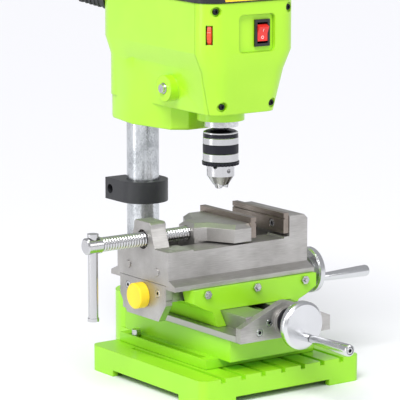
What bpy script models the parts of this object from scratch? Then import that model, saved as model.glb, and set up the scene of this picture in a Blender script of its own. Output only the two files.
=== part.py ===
"""A micro drill press: a cast base, a column with a belt-driven head, and a cross-slide vise.

Metres, +Z up, +X to the operator's right, +Y to the back. The origin is on the column's axis, on the floor.
Run it with blender --background --python part.py, or from the text editor.
"""

import math

import bmesh
import bpy
from mathutils import Matrix, Vector

# Clearances that touching and sliding pieces share, and how far a cut runs past its piece
FIT = 0.0003
OVERRUN = 0.004
BORE_FIT = 0.0003
# Round cutters are turned by this share of a step, so that their corners don't fall on the corners of what they cut
CUTTER_PHASE = 0.4

# Plan of the machine: how far the spindle stands in front of the column, and the vise under it
THROAT = 0.131
VISE_Y = -THROAT

# Cast base: a plate on four feet, with a boss behind it that holds the column
BASE_WIDTH = 0.185
BASE_DEPTH = 0.185
BASE_HEIGHT = 0.025
BASE_CORNER = 0.008
BASE_FRONT_REACH = 0.0995
BASE_FRONT = VISE_Y - BASE_FRONT_REACH
BASE_BACK = BASE_FRONT + BASE_DEPTH
BASE_WALL = 0.006
BASE_TOP_WALL = 0.009
FOOT_LENGTH = 0.038
ARCH_HEIGHT = 0.006
GROOVE_COUNT = 7
GROOVE_PITCH = 0.023
GROOVE_WIDTH = 0.005
GROOVE_DEPTH = 0.004
COLUMN_R = 0.016
COLUMN_WALL = 0.003
COLUMN_TOP = 0.330
BOSS_R = 0.028
BOSS_HEIGHT = 0.060
BOSS_FLOOR = 0.0035
LOCK_BOLT_Z = 0.045
LOCK_BOLT_R = 0.003
LOCK_BOLT_HEAD_R = 0.005
LOCK_BOLT_HEAD = 0.006

# Black stop collar on the column
COLLAR_R = 0.025
COLLAR_LOW = 0.150
COLLAR_HEIGHT = 0.0215
COLLAR_BACK = 0.030
COLLAR_SLOT = 0.002
COLLAR_HOLE_Y = 0.0215
COLLAR_HOLE_R = 0.003
COLLAR_HEAD_R = 0.0048
COLLAR_HEAD_DEEP = 0.006

# Lower casting of the cross slide: flange, body and the way that runs along Y
FLANGE_HALF_X = 0.063
FLANGE_FRONT_REACH = 0.064
FLANGE_BACK_REACH = 0.079
FLANGE_THICK = 0.009
SLIDE_HALF_X = 0.052
SLIDE_FRONT_REACH = 0.083
SLIDE_BACK_REACH = 0.090
WAY_FRONT_REACH = 0.095
WAY_LOW = 0.0555
WAY_TOP = 0.0615
SLIDE_DRAFT = 0.003
Y_TAIL_NARROW = 0.034
Y_TAIL_WIDE = 0.0410
Y_TAIL_TOP = 0.0775
SLOT_WIDTH = 0.007
SLOT_END_MARGIN = 0.012
SLOT_FROM_EDGE = 0.0055
SLIDE_BOLT_R = 0.0028
SLIDE_BOLT_HEAD_R = 0.0048
SLIDE_BOLT_HEAD = 0.005
SLIDE_BOLT_FROM_END = 0.020

# Lead screws, their channels, and the dial, wheel and crank handle that both of them carry
SCREW_R = 0.004
SCREW_FIT = 0.0006
CHANNEL_HALF = 0.011
Y_SCREW_Z = 0.071
Y_CHANNEL_FLOOR = 0.0575
X_SCREW_Z = 0.0885
NUT_HALF_WIDE = 0.0095
NUT_HALF_LONG = 0.011
BRACKET_THICK = 0.0075
BRACKET_SIDE_TOP = 0.0695
BRACKET_BOSS_R = 0.0185
BRACKET_HUB_R = 0.0135
BRACKET_HUB = 0.0035
DIAL_R = 0.0125
Y_DIAL_LONG = 0.015
X_DIAL_LONG = 0.0195
WHEEL_R = 0.0225
WHEEL_THICK = 0.0095
WHEEL_RIM_CHAMFER = 0.0015
CRANK_OFFSET = 0.015
CRANK_LONG = 0.056
CRANK_ROOT_R = 0.0038
CRANK_TIP_R = 0.0056
CRANK_BOLT_R = 0.0020
CRANK_BOLT_HEAD_R = 0.0034
CRANK_BOLT_HEAD = 0.003
Y_CRANK_ANGLE = math.radians(-60)
X_CRANK_ANGLE = math.radians(-157)
BRACKET_SCREW_R = 0.0020
BRACKET_SCREW_HEAD_R = 0.0036
BRACKET_SCREW_HEAD = 0.0035
BRACKET_SCREW_LONG = 0.012
Y_BRACKET_SCREW_X = 0.030
Y_BRACKET_SCREW_Z = 0.0634
Y_BRACKET_SCREW_RISE = 0.0079
Y_BRACKET_SCREW_STEP = 0.0112

# Saddle between the two slides
SADDLE_HALF_X = 0.0715
SADDLE_HALF_Y = 0.057
SADDLE_TOP = 0.0995
SADDLE_END_LOW = 0.087
SADDLE_HAUNCH_X = 0.060
SADDLE_HAUNCH_Z = 0.0805
SADDLE_LEG_X = 0.0440
SADDLE_KNEE_X = 0.0505
SADDLE_KNEE_Z = 0.0765
GIB_THICK = 0.003
GIB_END_MARGIN = 0.004
GIB_SCREW_Z = 0.0945
GIB_SCREW_PITCH = 0.057
GIB_SCREW_R = 0.0020
GIB_SCREW_OUT = 0.0045
GIB_NUT_R = 0.0042
GIB_NUT_THICK = 0.0025

# Vise body on its dovetail along X
X_TAIL_NARROW = 0.0335
X_TAIL_WIDE = 0.0385
X_TAIL_LOW = 0.0875
VISE_LEFT = -0.090
VISE_RIGHT = 0.072
VISE_HALF_Y = 0.042
VISE_WING_Y = 0.053
VISE_WING_EDGE = 0.0045
VISE_WING_TOP = 0.109
VISE_TOP = 0.135
VISE_STEP = 0.0015
VISE_STEP_LONG = 0.012
VISE_SLOT_HALF = 0.015
VISE_SLOT_FLOOR = 0.113
X_CHANNEL_TOP = 0.0995
LUG_THICK = 0.017
LUG_TOP = 0.1585
LUG_TOP_HALF = 0.0135
LUG_FOOT_HALF = 0.020
LUG_SHOULDER = 0.152
VISE_SCREW_Z = 0.1415
VISE_SCREW_R = 0.0068
LUG_MOUTH_R = 0.0092
LUG_MOUTH_DEEP = 0.006
FIXED_JAW_LEFT = 0.0505
FIXED_JAW_TOP = 0.1545
CHAMFER = 0.004
PLUG_R = 0.0038
PLUG_OUT = 0.0010
PLUG_Y = 0.0235
PLUG_Z = 0.1140

# Jaws and their steel plates
JAW_FACE_X = 0.0115
JAW_PLATE_THICK = 0.006
JAW_PLATE_HALF = 0.041
JAW_PLATE_TOP = 0.1575
JAW_PLATE_LOW = 0.1380
JAW_GROOVE = 0.0012
JAW_GROOVE_Z = 0.1530
JAW_TOP = 0.1520
JAW_HALF_Y = 0.042
JAW_BACK_X = -0.014
JAW_WAIST_X = -0.028
JAW_WAIST_Y = 0.0165
JAW_NOSE_X = -0.040
JAW_NOSE_Y = 0.0120
JAW_KEY_HALF = 0.0135
JAW_KEY_DEEP = 0.012
JAW_SCREW_R = 0.0022
JAW_SCREW_HEAD_R = 0.0040
JAW_SCREW_HEAD = 0.0035
JAW_SCREW_Z = 0.1455
JAW_SCREW_Y = 0.022
JAW_BORE_DEEP = 0.018
JAW_OPEN = 0.0360

# Vise screw and its sliding bar
VISE_HEAD_X = -0.145
VISE_HEAD_R = 0.0078
VISE_HEAD_HALF = 0.0085
BAR_R = 0.0047
BAR_CAP_R = 0.0054
BAR_CAP = 0.003
BAR_LONG = 0.076

# End plate with its yellow cap on the left, and the bracket on the right
END_PLATE_THICK = 0.0075
END_PLATE_HALF = 0.0375
END_PLATE_LOW = 0.0675
END_PLATE_TOP = 0.1030
END_PLATE_NECK_Z = 0.084
END_PLATE_FOOT_HALF = 0.026
END_PLATE_SCREW_Y = 0.0245
END_PLATE_SCREW_Z = 0.0940
CAP_R = 0.0122
CAP_LONG = 0.0105
CAP_BORE_R = 0.0052
CAP_BORE_DEEP = 0.007

# Head: widths and fronts of the shell at each height
HEAD_TOP = 0.362
HEAD_CREASE_TOP = 0.315
HEAD_CREASE_LOW = 0.297
HEAD_LOW = 0.257
HEAD_TOP_HALF = 0.053
HEAD_CREASE_HALF = 0.0455
HEAD_LOW_HALF = 0.0385
HEAD_FRONT_TOP = 0.0525
HEAD_FRONT_CREASE = 0.0505
HEAD_FRONT_LOW = 0.0415
HEAD_CORNER = 0.020
HEAD_CORNER_LOW = 0.016
HEAD_REAR_R = 0.0365
HEAD_REAR_R_LOW = 0.031
HEAD_WALL = 0.004
HEAD_FLOOR = 0.006
NECK_LOW = 0.234
NECK_HALF_WIDE = 0.0385
NECK_WIDE_Y = -0.038
NECK_HALF_FRONT = 0.030
NECK_FRONT_Y = -0.092
NECK_NOSE = 0.010
NECK_REAR_R = 0.0300
NECK_SHARES = ((NECK_LOW, 0.985), (NECK_LOW + 0.0015, 1.0), (0.283, 1.0), (0.293, 0.965), (0.300, 0.90), (0.303, 0.82))
COVER_BACK_Y = -0.163

# Column clamp sleeve and the quill's guide inside the head
CLAMP_SLEEVE_R = 0.022
CLAMP_SLEEVE_TOP = 0.276
QUILL_R = 0.01675
GUIDE_R = 0.0225
GUIDE_LOW = 0.2465
GUIDE_TOP = 0.300

# Quill, spindle and their drive
QUILL_LOW = 0.2405
QUILL_TOP = 0.316
QUILL_BORE_R = 0.0068
SPINDLE_R = 0.0060
SPINDLE_TOP = 0.3795
SPINDLE_COLLAR_R = 0.0073
SPINDLE_COLLAR = 0.0040
PINION_R = 0.0075
PINION_Z = 0.277
PINION_SHAFT_R = 0.0050
PINION_HALF_LONG = 0.009
PINION_TEETH = 12
TOOTH_HEIGHT = 0.0016
RACK_FLAT = 0.0030
PINION_BOSS_R = 0.0125
PINION_BOSS_OUT = 0.0035
PINION_BOLT_R = 0.0042
PINION_BOLT = 0.0030
LEVER_HUB_R = 0.0110
LEVER_HUB_LONG = 0.0150
LEVER_ROD_R = 0.0040
LEVER_LONG = 0.095
LEVER_ANGLE = math.radians(128)
LEVER_LEAN = math.radians(12)
GRIP_R = 0.0085
GRIP_LONG = 0.032
GRIP_BORE_DEEP = 0.020

# Chuck, from its tip up
CHUCK_TIP = 0.1840
CHUCK_CONE_TOP = 0.1930
CHUCK_TEETH_LOW = 0.2030
CHUCK_TEETH_TOP = 0.2070
CHUCK_SLEEVE_TOP = 0.2300
CHUCK_TOP = 0.2375
CHUCK_NECK_TOP = 0.2400
CHUCK_BODY_R = 0.0131
CHUCK_NOSE_R = 0.0075
CHUCK_SLEEVE_R = 0.0170
CHUCK_TEETH_R = 0.0180
CHUCK_CORE_R = 0.0140
CHUCK_TOP_R = 0.0165
CHUCK_NECK_R = 0.0070
CHUCK_BORE_R = 0.0062
JAW_ROD_R = 0.0036
CHUCK_JAW_LOW = 0.1822
CHUCK_JAW_LEAN = math.radians(17)
CHUCK_JAW_LONG = 0.017
CHUCK_BORE_LONG = 0.0243
CHUCK_JAW_CENTRE_OUT = 0.0034
KEY_HOLE_Z = 0.1985
KEY_HOLE_R = 0.0022
KEY_HOLE_DEEP = 0.003
TAPER_TOP = 0.2390
TAPER_LOW = 0.2250

# Motor, pulleys and belt under the top cover
MOTOR_Y = -0.060
MOTOR_R = 0.027
MOTOR_LOW = 0.268
MOTOR_SHAFT_R = 0.0030
PLATE_Z = 0.338
PLATE_THICK = 0.003
PULLEY_LOW = 0.346
PULLEY_THICK = 0.012
MOTOR_PULLEY_R = 0.012
SPINDLE_PULLEY_R = 0.022
PULLEY_LIP = 0.0020
PULLEY_LIP_THICK = 0.0015
PULLEY_HUB_R = 0.0095
BELT_THICK = 0.0022
COVER_TOP = 0.384
COVER_WALL = 0.003
COVER_OUT = 0.0010
COVER_CORNER_SHARE = 0.9

# Switch, speed wheel, cover screws and cord gland
RECESS_X = 0.0035
RECESS_HALF_X = 0.0205
RECESS_Z = 0.3325
RECESS_HALF_Z = 0.0175
RECESS_DEEP = 0.0035
RECESS_CORNER = 0.004
SWITCH_X = 0.0105
SWITCH_HALF_X = 0.0085
SWITCH_HALF_Z = 0.0125
SWITCH_OUT = 0.0022
SWITCH_BODY_DEEP = 0.014
ROCKER_HALF_X = 0.0060
ROCKER_HALF_Z = 0.0095
ROCKER_R = 0.0130
ROCKER_OUT = 0.0035
SPEED_R = 0.0125
SPEED_THICK = 0.0045
SPEED_Z = 0.3330
SPEED_OUT = 0.0020
SPEED_SLOT_HALF = 0.0135
SPEED_SLOT_WIDTH = 0.0065
SPEED_PIN_R = 0.0020
SPEED_PIN_LONG = 0.0045
SPEED_CHEEK_R = 0.0085
HOLE_R = 0.0046
HOLE_TOP_X = 0.0415
HOLE_TOP_Z = 0.3545
HOLE_LOW_X = 0.0285
HOLE_LOW_Z = 0.2650
GLAND_X = -0.020
GLAND_Z = 0.3500
GLAND_R = 0.0110
GLAND_TIP_R = 0.0050
GLAND_LONG = 0.030
GLAND_FLANGE = 0.003
GLAND_BORE_R = 0.0035

bpy.context.scene.unit_settings.system = "METRIC"
for old in list(bpy.data.objects):
    bpy.data.objects.remove(old, do_unlink=True)

PRESS = bpy.data.collections.new("micro_drill_press")
CUTTERS = bpy.data.collections.new("cutters")
for home in (PRESS, CUTTERS):
    bpy.context.scene.collection.children.link(home)


def finish(name, colour, roughness, metallic=0.0):
    """A Principled material of one colour."""
    made = bpy.data.materials.new(name)
    made.use_nodes = True
    shader = made.node_tree.nodes["Principled BSDF"]
    shader.inputs["Base Color"].default_value = (*colour, 1.0)
    shader.inputs["Roughness"].default_value = roughness
    shader.inputs["Metallic"].default_value = metallic
    return made


GREEN = finish("green_enamel", (0.42, 0.83, 0.03), 0.35)
CAST = finish("ground_alloy", (0.40, 0.39, 0.38), 0.45, 0.8)
STEEL = finish("bright_steel", (0.62, 0.62, 0.62), 0.25, 1.0)
ALLOY = finish("turned_aluminium", (0.75, 0.75, 0.76), 0.3, 1.0)
BRASS = finish("brass", (0.70, 0.52, 0.22), 0.35, 1.0)
BLACK = finish("black_plastic", (0.02, 0.02, 0.02), 0.5)
YELLOW = finish("yellow_plastic", (0.95, 0.72, 0.02), 0.4)
RED = finish("red_plastic", (0.75, 0.03, 0.02), 0.3)
ORANGE = finish("orange_plastic", (0.90, 0.16, 0.03), 0.4)
RUBBER = finish("belt_rubber", (0.015, 0.015, 0.015), 0.8)


def empty(name, where, under=None):
    """An empty on a joint's axis, which its moving pieces hang under."""
    made = bpy.data.objects.new(name, None)
    PRESS.objects.link(made)
    made.location = Vector(where) - (under["at"] if under else Vector())
    if under:
        made.parent = under["empty"]
    return {"empty": made, "at": Vector(where)}


def settle(obj, matrix, material, under, cutter):
    """Puts a piece in its collection, its place and its material."""
    (CUTTERS if cutter else PRESS).objects.link(obj)
    obj.matrix_basis = matrix
    if cutter:
        obj.hide_render = True
        obj.display_type = "WIRE"
        return obj
    if under:
        obj.parent = under["empty"]
        obj.matrix_parent_inverse = Matrix.Translation(-under["at"])
    obj.data.materials.append(material)
    return obj


def smooth(mesh):
    mesh.shade_smooth()
    mesh.set_sharp_from_angle(angle=math.radians(35))


def facing(where, axis):
    """A matrix that takes local Z to the axis and the origin to the place."""
    turn = Vector((0, 0, 1)).rotation_difference(Vector(axis))
    return Matrix.Translation(where) @ turn.to_matrix().to_4x4()


def turned(name, material, profile, where, axis=(0, 0, 1), steps=32, under=None, cutter=False, ring=False):
    """A lathe shape: (radius, height) points down the outside, spun about the local Z axis."""
    made = bmesh.new()
    turns = [2 * math.pi * (i + (CUTTER_PHASE if cutter else 0)) / steps for i in range(steps)]
    rings = [[made.verts.new((radius * math.cos(t), radius * math.sin(t), height)) for t in turns]
             for radius, height in profile if radius > 0]
    for above, below in zip(rings, rings[1:] + rings[:1] if ring else rings[1:]):
        for i in range(steps):
            j = (i + 1) % steps
            made.faces.new((above[i], below[i], below[j], above[j]))
    if not ring:
        made.faces.new(rings[0])
        made.faces.new(list(reversed(rings[-1])))
    bmesh.ops.recalc_face_normals(made, faces=made.faces)
    mesh = bpy.data.meshes.new(name)
    made.to_mesh(mesh)
    made.free()
    smooth(mesh)
    return settle(bpy.data.objects.new(name, mesh), facing(where, axis), material, under, cutter)


def rod(name, material, radius, low, high, where, axis=(0, 0, 1), steps=24, under=None, cutter=False, edge=0.0):
    """A round bar between two heights on its axis, its ends chamfered by edge."""
    top = [(0.0, high), (radius - edge, high), (radius, high - edge)]
    end = [(radius, low + edge), (radius - edge, low), (0.0, low)]
    if edge == 0.0:
        top, end = top[:2], end[1:]
    return turned(name, material, top + end, where, axis, steps, under, cutter)


def tube(name, material, radius, bore, low, high, where, axis=(0, 0, 1), steps=32, under=None, cutter=False):
    """A round bar with a bore right through it."""
    profile = [(radius, high), (radius, low), (bore, low), (bore, high)]
    return turned(name, material, profile, where, axis, steps, under, cutter, ring=True)


def block(name, material, low, high, bevel=0.0, under=None, cutter=False):
    """A box between two corners, its edges rounded by bevel."""
    low, high = Vector(low), Vector(high)
    made = bmesh.new()
    bmesh.ops.create_cube(made, size=1)
    bmesh.ops.scale(made, vec=high - low, verts=made.verts)
    mesh = bpy.data.meshes.new(name)
    made.to_mesh(mesh)
    made.free()
    obj = bpy.data.objects.new(name, mesh)
    settle(obj, Matrix.Translation((low + high) / 2), material, under, cutter)
    if bevel:
        soften(obj, bevel)
    return obj


def soften(obj, width, segments=1, angle=40):
    """Rounds the sharp edges of a piece."""
    round_off = obj.modifiers.new("rounded", "BEVEL")
    round_off.width = width
    round_off.segments = segments
    round_off.limit_method = "ANGLE"
    round_off.angle_limit = math.radians(angle)


PLANES = {
    "XY": Matrix.Identity(4),
    "XZ": Matrix(((1, 0, 0, 0), (0, 0, -1, 0), (0, 1, 0, 0), (0, 0, 0, 1))),
    "YZ": Matrix(((0, 0, 1, 0), (1, 0, 0, 0), (0, 1, 0, 0), (0, 0, 0, 1))),
}


def plate(name, material, outline, low, high, plane="XY", under=None, cutter=False, angle=0.0, centre=(0, 0, 0)):
    """A flat outline in one plane, with its thickness from low to high along the third axis."""
    across = {"XY": Vector((0, 0, 1)), "XZ": Vector((0, 1, 0)), "YZ": Vector((1, 0, 0))}[plane]
    made = bmesh.new()
    face = made.faces.new([made.verts.new((u, v, 0)) for u, v in outline])
    grown = bmesh.ops.extrude_face_region(made, geom=[face])["geom"]
    bmesh.ops.translate(made, vec=(0, 0, high - low), verts=[v for v in grown if isinstance(v, bmesh.types.BMVert)])
    bmesh.ops.translate(made, vec=(0, 0, (low - high) / 2), verts=made.verts)
    bmesh.ops.recalc_face_normals(made, faces=made.faces)
    mesh = bpy.data.meshes.new(name)
    made.to_mesh(mesh)
    made.free()
    smooth(mesh)
    matrix = Matrix.Translation(across * (low + high) / 2) @ PLANES[plane]
    if angle:
        matrix = Matrix.Translation(centre) @ Matrix.Rotation(angle, 4, "Z") @ matrix
    return settle(bpy.data.objects.new(name, mesh), matrix, material, under, cutter)


def loft(name, material, sections, under=None, cutter=False):
    """A closed skin through level outlines of equal point count, from the lowest up."""
    made = bmesh.new()
    rings = [[made.verts.new((x, y, z)) for x, y in outline] for z, outline in sections]
    count = len(rings[0])
    for below, above in zip(rings, rings[1:]):
        for i in range(count):
            j = (i + 1) % count
            made.faces.new((below[i], below[j], above[j], above[i]))
    made.faces.new(list(reversed(rings[0])))
    made.faces.new(rings[-1])
    bmesh.ops.recalc_face_normals(made, faces=made.faces)
    mesh = bpy.data.meshes.new(name)
    made.to_mesh(mesh)
    made.free()
    smooth(mesh)
    return settle(bpy.data.objects.new(name, mesh), Matrix.Identity(4), material, under, cutter)


def shape(obj, tool, operation="DIFFERENCE"):
    """Cuts, joins or trims a piece by a helper that isn't drawn."""
    change = obj.modifiers.new(tool.name, "BOOLEAN")
    change.operation = operation
    change.object = tool
    change.solver = "EXACT"


def arc(centre, radius, start, end, count):
    """Points on an arc between two angles in degrees."""
    turns = [math.radians(start + (end - start) * i / (count - 1)) for i in range(count)]
    return [(centre[0] + radius * math.cos(t), centre[1] + radius * math.sin(t)) for t in turns]


def rounded(x0, y0, x1, y1, corner, count=4):
    """A rectangle with round corners, anticlockwise."""
    return (
        arc((x1 - corner, y0 + corner), corner, -90, 0, count)
        + arc((x1 - corner, y1 - corner), corner, 0, 90, count)
        + arc((x0 + corner, y1 - corner), corner, 90, 180, count)
        + arc((x0 + corner, y0 + corner), corner, 180, 270, count)
    )


def mirrored(half):
    """A symmetric outline from its right half, given bottom to top."""
    return half + [(-x, y) for x, y in reversed(half)]


def boxes(name, ranges):
    """One helper made of several boxes."""
    made = bmesh.new()
    for low, high in ranges:
        cube = bmesh.ops.create_cube(made, size=1)["verts"]
        bmesh.ops.scale(made, vec=Vector(high) - Vector(low), verts=cube)
        bmesh.ops.translate(made, vec=(Vector(low) + Vector(high)) / 2, verts=cube)
    mesh = bpy.data.meshes.new(name)
    made.to_mesh(mesh)
    made.free()
    return settle(bpy.data.objects.new(name, mesh), Matrix.Identity(4), None, None, True)


def make_base():
    half = BASE_WIDTH / 2
    base = plate("base_casting", GREEN, rounded(-half, BASE_FRONT, half, BASE_BACK, BASE_CORNER, 5), 0, BASE_HEIGHT)
    tab = block("base_tab", None, (-BOSS_R, BASE_BACK - BASE_WALL, 0), (BOSS_R, 0, BASE_HEIGHT), cutter=True)
    boss = rod("base_boss", None, BOSS_R, 0, BOSS_HEIGHT, (0, 0, 0), steps=32, cutter=True)
    shape(base, tab, "UNION")
    shape(base, boss, "UNION")
    inner = block(
        "base_hollow", None,
        (-half + BASE_WALL, BASE_FRONT + BASE_WALL, -OVERRUN),
        (half - BASE_WALL, BASE_BACK - BASE_WALL - OVERRUN, BASE_HEIGHT - BASE_TOP_WALL), cutter=True,
    )
    shape(base, inner)
    arch_y = (BASE_FRONT + FOOT_LENGTH, BASE_BACK - FOOT_LENGTH)
    arch_x = half - FOOT_LENGTH
    shape(base, boxes("base_arches", [((-half - OVERRUN, arch_y[0], -OVERRUN), (half + OVERRUN, arch_y[1], ARCH_HEIGHT))]))
    front_arch = boxes("base_front_arch", [
        ((-arch_x, BASE_FRONT - OVERRUN, -OVERRUN), (arch_x, BASE_FRONT + BASE_WALL + OVERRUN, ARCH_HEIGHT))])
    shape(base, front_arch)
    first = -GROOVE_PITCH * (GROOVE_COUNT - 1) / 2
    grooves = []
    for i in range(GROOVE_COUNT):
        x = first + i * GROOVE_PITCH
        grooves.append((
            (x - GROOVE_WIDTH / 2, BASE_FRONT - OVERRUN, BASE_HEIGHT - GROOVE_DEPTH),
            (x + GROOVE_WIDTH / 2, BASE_BACK - FOOT_LENGTH, BASE_HEIGHT + OVERRUN)))
    shape(base, boxes("base_grooves", grooves))
    bore = rod("base_bore", None, COLUMN_R + BORE_FIT, BOSS_FLOOR, BOSS_HEIGHT + OVERRUN, (0, 0, 0), cutter=True, steps=32)
    shape(base, bore)
    bolt_hole = rod("base_bolt_hole", None, LOCK_BOLT_R + FIT, 0, BOSS_R + OVERRUN, (0, 0, LOCK_BOLT_Z), (0, 1, 0), 12, cutter=True)
    shape(base, bolt_hole)
    lock = [(0, BOSS_R + FIT + LOCK_BOLT_HEAD), (LOCK_BOLT_HEAD_R, BOSS_R + FIT + LOCK_BOLT_HEAD),
            (LOCK_BOLT_HEAD_R, BOSS_R + FIT), (LOCK_BOLT_R, BOSS_R + FIT),
            (LOCK_BOLT_R, COLUMN_R + FIT), (0, COLUMN_R + FIT)]
    turned("column_lock_bolt", STEEL, lock, (0, 0, LOCK_BOLT_Z), (0, 1, 0), 12)


def make_column(column):
    tube("column", STEEL, COLUMN_R, COLUMN_R - COLUMN_WALL, BOSS_FLOOR + FIT, COLUMN_TOP, (0, 0, 0), under=column, steps=32)


def make_collar(collar):
    outline = arc((0, 0), COLLAR_R, 180, 360, 17) + [(COLLAR_R, COLLAR_BACK), (-COLLAR_R, COLLAR_BACK)]
    ring = plate("depth_collar", BLACK, outline, COLLAR_LOW, COLLAR_LOW + COLLAR_HEIGHT, under=collar)
    middle = COLLAR_LOW + COLLAR_HEIGHT / 2
    bore = rod("collar_bore", None, COLUMN_R + FIT, COLLAR_LOW - OVERRUN, COLLAR_LOW + COLLAR_HEIGHT + OVERRUN,
               (0, 0, 0), steps=32, cutter=True)
    slot = block("collar_slot", None, (-COLLAR_SLOT / 2, 0, COLLAR_LOW - OVERRUN),
                 (COLLAR_SLOT / 2, COLLAR_BACK + OVERRUN, COLLAR_LOW + COLLAR_HEIGHT + OVERRUN), cutter=True)
    hole = turned("collar_hole", None, [
        (0, COLLAR_R + OVERRUN), (COLLAR_HEAD_R, COLLAR_R + OVERRUN), (COLLAR_HEAD_R, COLLAR_R - COLLAR_HEAD_DEEP),
        (COLLAR_HOLE_R, COLLAR_R - COLLAR_HEAD_DEEP), (COLLAR_HOLE_R, -COLLAR_R / 2), (0, -COLLAR_R / 2)],
        (0, COLLAR_HOLE_Y, middle), (-1, 0, 0), 14, cutter=True)
    for tool in (bore, slot, hole):
        shape(ring, tool)


def make_slide_base():
    low = BASE_HEIGHT + FIT
    flange_top = low + FLANGE_THICK
    front, back = VISE_Y - FLANGE_FRONT_REACH, VISE_Y + FLANGE_BACK_REACH
    slide_front, slide_back = VISE_Y - SLIDE_FRONT_REACH, VISE_Y + SLIDE_BACK_REACH
    casting = block("slide_base", GREEN, (-FLANGE_HALF_X, front, low), (FLANGE_HALF_X, back, flange_top))
    body = block("slide_body", None, (-SLIDE_HALF_X + SLIDE_DRAFT, slide_front, flange_top - FIT),
                 (SLIDE_HALF_X - SLIDE_DRAFT, slide_back, WAY_LOW + FIT), cutter=True)
    way = block("slide_way", None, (-SLIDE_HALF_X, VISE_Y - WAY_FRONT_REACH, WAY_LOW),
                (SLIDE_HALF_X, slide_back, WAY_TOP), cutter=True)
    tail_half = [(Y_TAIL_NARROW, WAY_TOP), (Y_TAIL_WIDE, Y_TAIL_TOP)]
    tail = [(Y_TAIL_NARROW, WAY_TOP - FIT)] + tail_half
    tail = plate("slide_tail", None, mirrored(tail), VISE_Y - WAY_FRONT_REACH, slide_back, "XZ", cutter=True)
    for tool in (body, way, tail):
        shape(casting, tool, "UNION")
    channel = block("slide_channel", None, (-CHANNEL_HALF, VISE_Y - WAY_FRONT_REACH - OVERRUN, Y_CHANNEL_FLOOR),
                    (CHANNEL_HALF, slide_back - OVERRUN, Y_TAIL_TOP + OVERRUN), cutter=True)
    shape(casting, channel)
    slots = []
    for side in (-1, 1):
        middle = side * (FLANGE_HALF_X - SLOT_FROM_EDGE)
        slots.append(((middle - SLOT_WIDTH / 2, front + SLOT_END_MARGIN, low - OVERRUN),
                      (middle + SLOT_WIDTH / 2, back - SLOT_END_MARGIN, flange_top + OVERRUN)))
    shape(casting, boxes("slide_slots", slots))
    for name, side, y in (("slide_bolt_left", -1, back - SLIDE_BOLT_FROM_END),
                          ("slide_bolt_right", 1, front + SLIDE_BOLT_FROM_END)):
        x = side * (FLANGE_HALF_X - SLOT_FROM_EDGE)
        head = flange_top + FIT
        profile = [(0, head + SLIDE_BOLT_HEAD), (SLIDE_BOLT_HEAD_R, head + SLIDE_BOLT_HEAD), (SLIDE_BOLT_HEAD_R, head),
                   (SLIDE_BOLT_R, head), (SLIDE_BOLT_R, low), (0, low)]
        turned(name, STEEL, profile, (x, y, 0), steps=6)


def make_feed(prefix, head, axis, screw_length, dial_long, crank, wheel, handle):
    """A bracket's lead screw with its dial, wheel and crank handle. Heights run along the axis from the bracket's face."""
    at = Vector(head)
    turned(prefix + "_leadscrew", STEEL, [
        (0, BRACKET_HUB), (SCREW_R, BRACKET_HUB), (SCREW_R, -screw_length), (0, -screw_length)],
        at, axis, 16, wheel)
    dial_low = BRACKET_HUB + FIT
    dial_top = dial_low + dial_long
    turned(prefix + "_dial", STEEL, [(0, dial_top), (DIAL_R, dial_top), (DIAL_R, dial_low), (0, dial_low)], at, axis, 32, wheel)
    low = dial_top + FIT
    top = low + WHEEL_THICK
    disc = turned(prefix + "_handwheel", STEEL, [
        (0, top), (WHEEL_R - WHEEL_RIM_CHAMFER, top), (WHEEL_R, top - WHEEL_RIM_CHAMFER),
        (WHEEL_R, low + WHEEL_RIM_CHAMFER), (WHEEL_R - WHEEL_RIM_CHAMFER, low), (0, low)], at, axis, 40, wheel)
    hole = rod(prefix + "_crank_hole", None, CRANK_BOLT_R + FIT, low + WHEEL_THICK / 2, top + OVERRUN, crank, axis, 12, cutter=True)
    shape(disc, hole)
    root = top + FIT
    tip = root + CRANK_LONG
    bore = CRANK_BOLT_R + FIT
    seat = tip - CRANK_BOLT_HEAD - FIT
    turned(prefix + "_crank_handle", STEEL, [
        (CRANK_TIP_R, tip), (CRANK_TIP_R, (root + 3 * tip) / 4), (CRANK_ROOT_R, root), (bore, root), (bore, seat),
        (CRANK_BOLT_HEAD_R + FIT, seat), (CRANK_BOLT_HEAD_R + FIT, tip)], crank, axis, 20, handle, ring=True)
    turned(prefix + "_crank_bolt", STEEL, [
        (0, tip), (CRANK_BOLT_HEAD_R, tip), (CRANK_BOLT_HEAD_R, tip - CRANK_BOLT_HEAD),
        (CRANK_BOLT_R, tip - CRANK_BOLT_HEAD), (CRANK_BOLT_R, low + WHEEL_THICK / 2 + FIT), (0, low + WHEEL_THICK / 2 + FIT)],
        crank, axis, 12, wheel)


def socket_screw(name, where, axis, under=None):
    """A small socket screw, its head's top face at the place and its shank behind it."""
    profile = [(0, 0), (BRACKET_SCREW_HEAD_R, 0), (BRACKET_SCREW_HEAD_R, -BRACKET_SCREW_HEAD),
               (BRACKET_SCREW_R, -BRACKET_SCREW_HEAD), (BRACKET_SCREW_R, -BRACKET_SCREW_LONG), (0, -BRACKET_SCREW_LONG)]
    return turned(name, STEEL, profile, where, axis, 12, under)


def screw_cutter(name, where, axis):
    """The counterbored hole that a socket screw sits in."""
    head, shank = BRACKET_SCREW_HEAD_R + FIT, BRACKET_SCREW_R + FIT
    deep = BRACKET_SCREW_LONG + FIT
    profile = [(0, OVERRUN), (head, OVERRUN), (head, -BRACKET_SCREW_HEAD - FIT), (shank, -BRACKET_SCREW_HEAD - FIT),
               (shank, -deep), (0, -deep)]
    return turned(name, None, profile, where, axis, 12, cutter=True)


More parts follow.
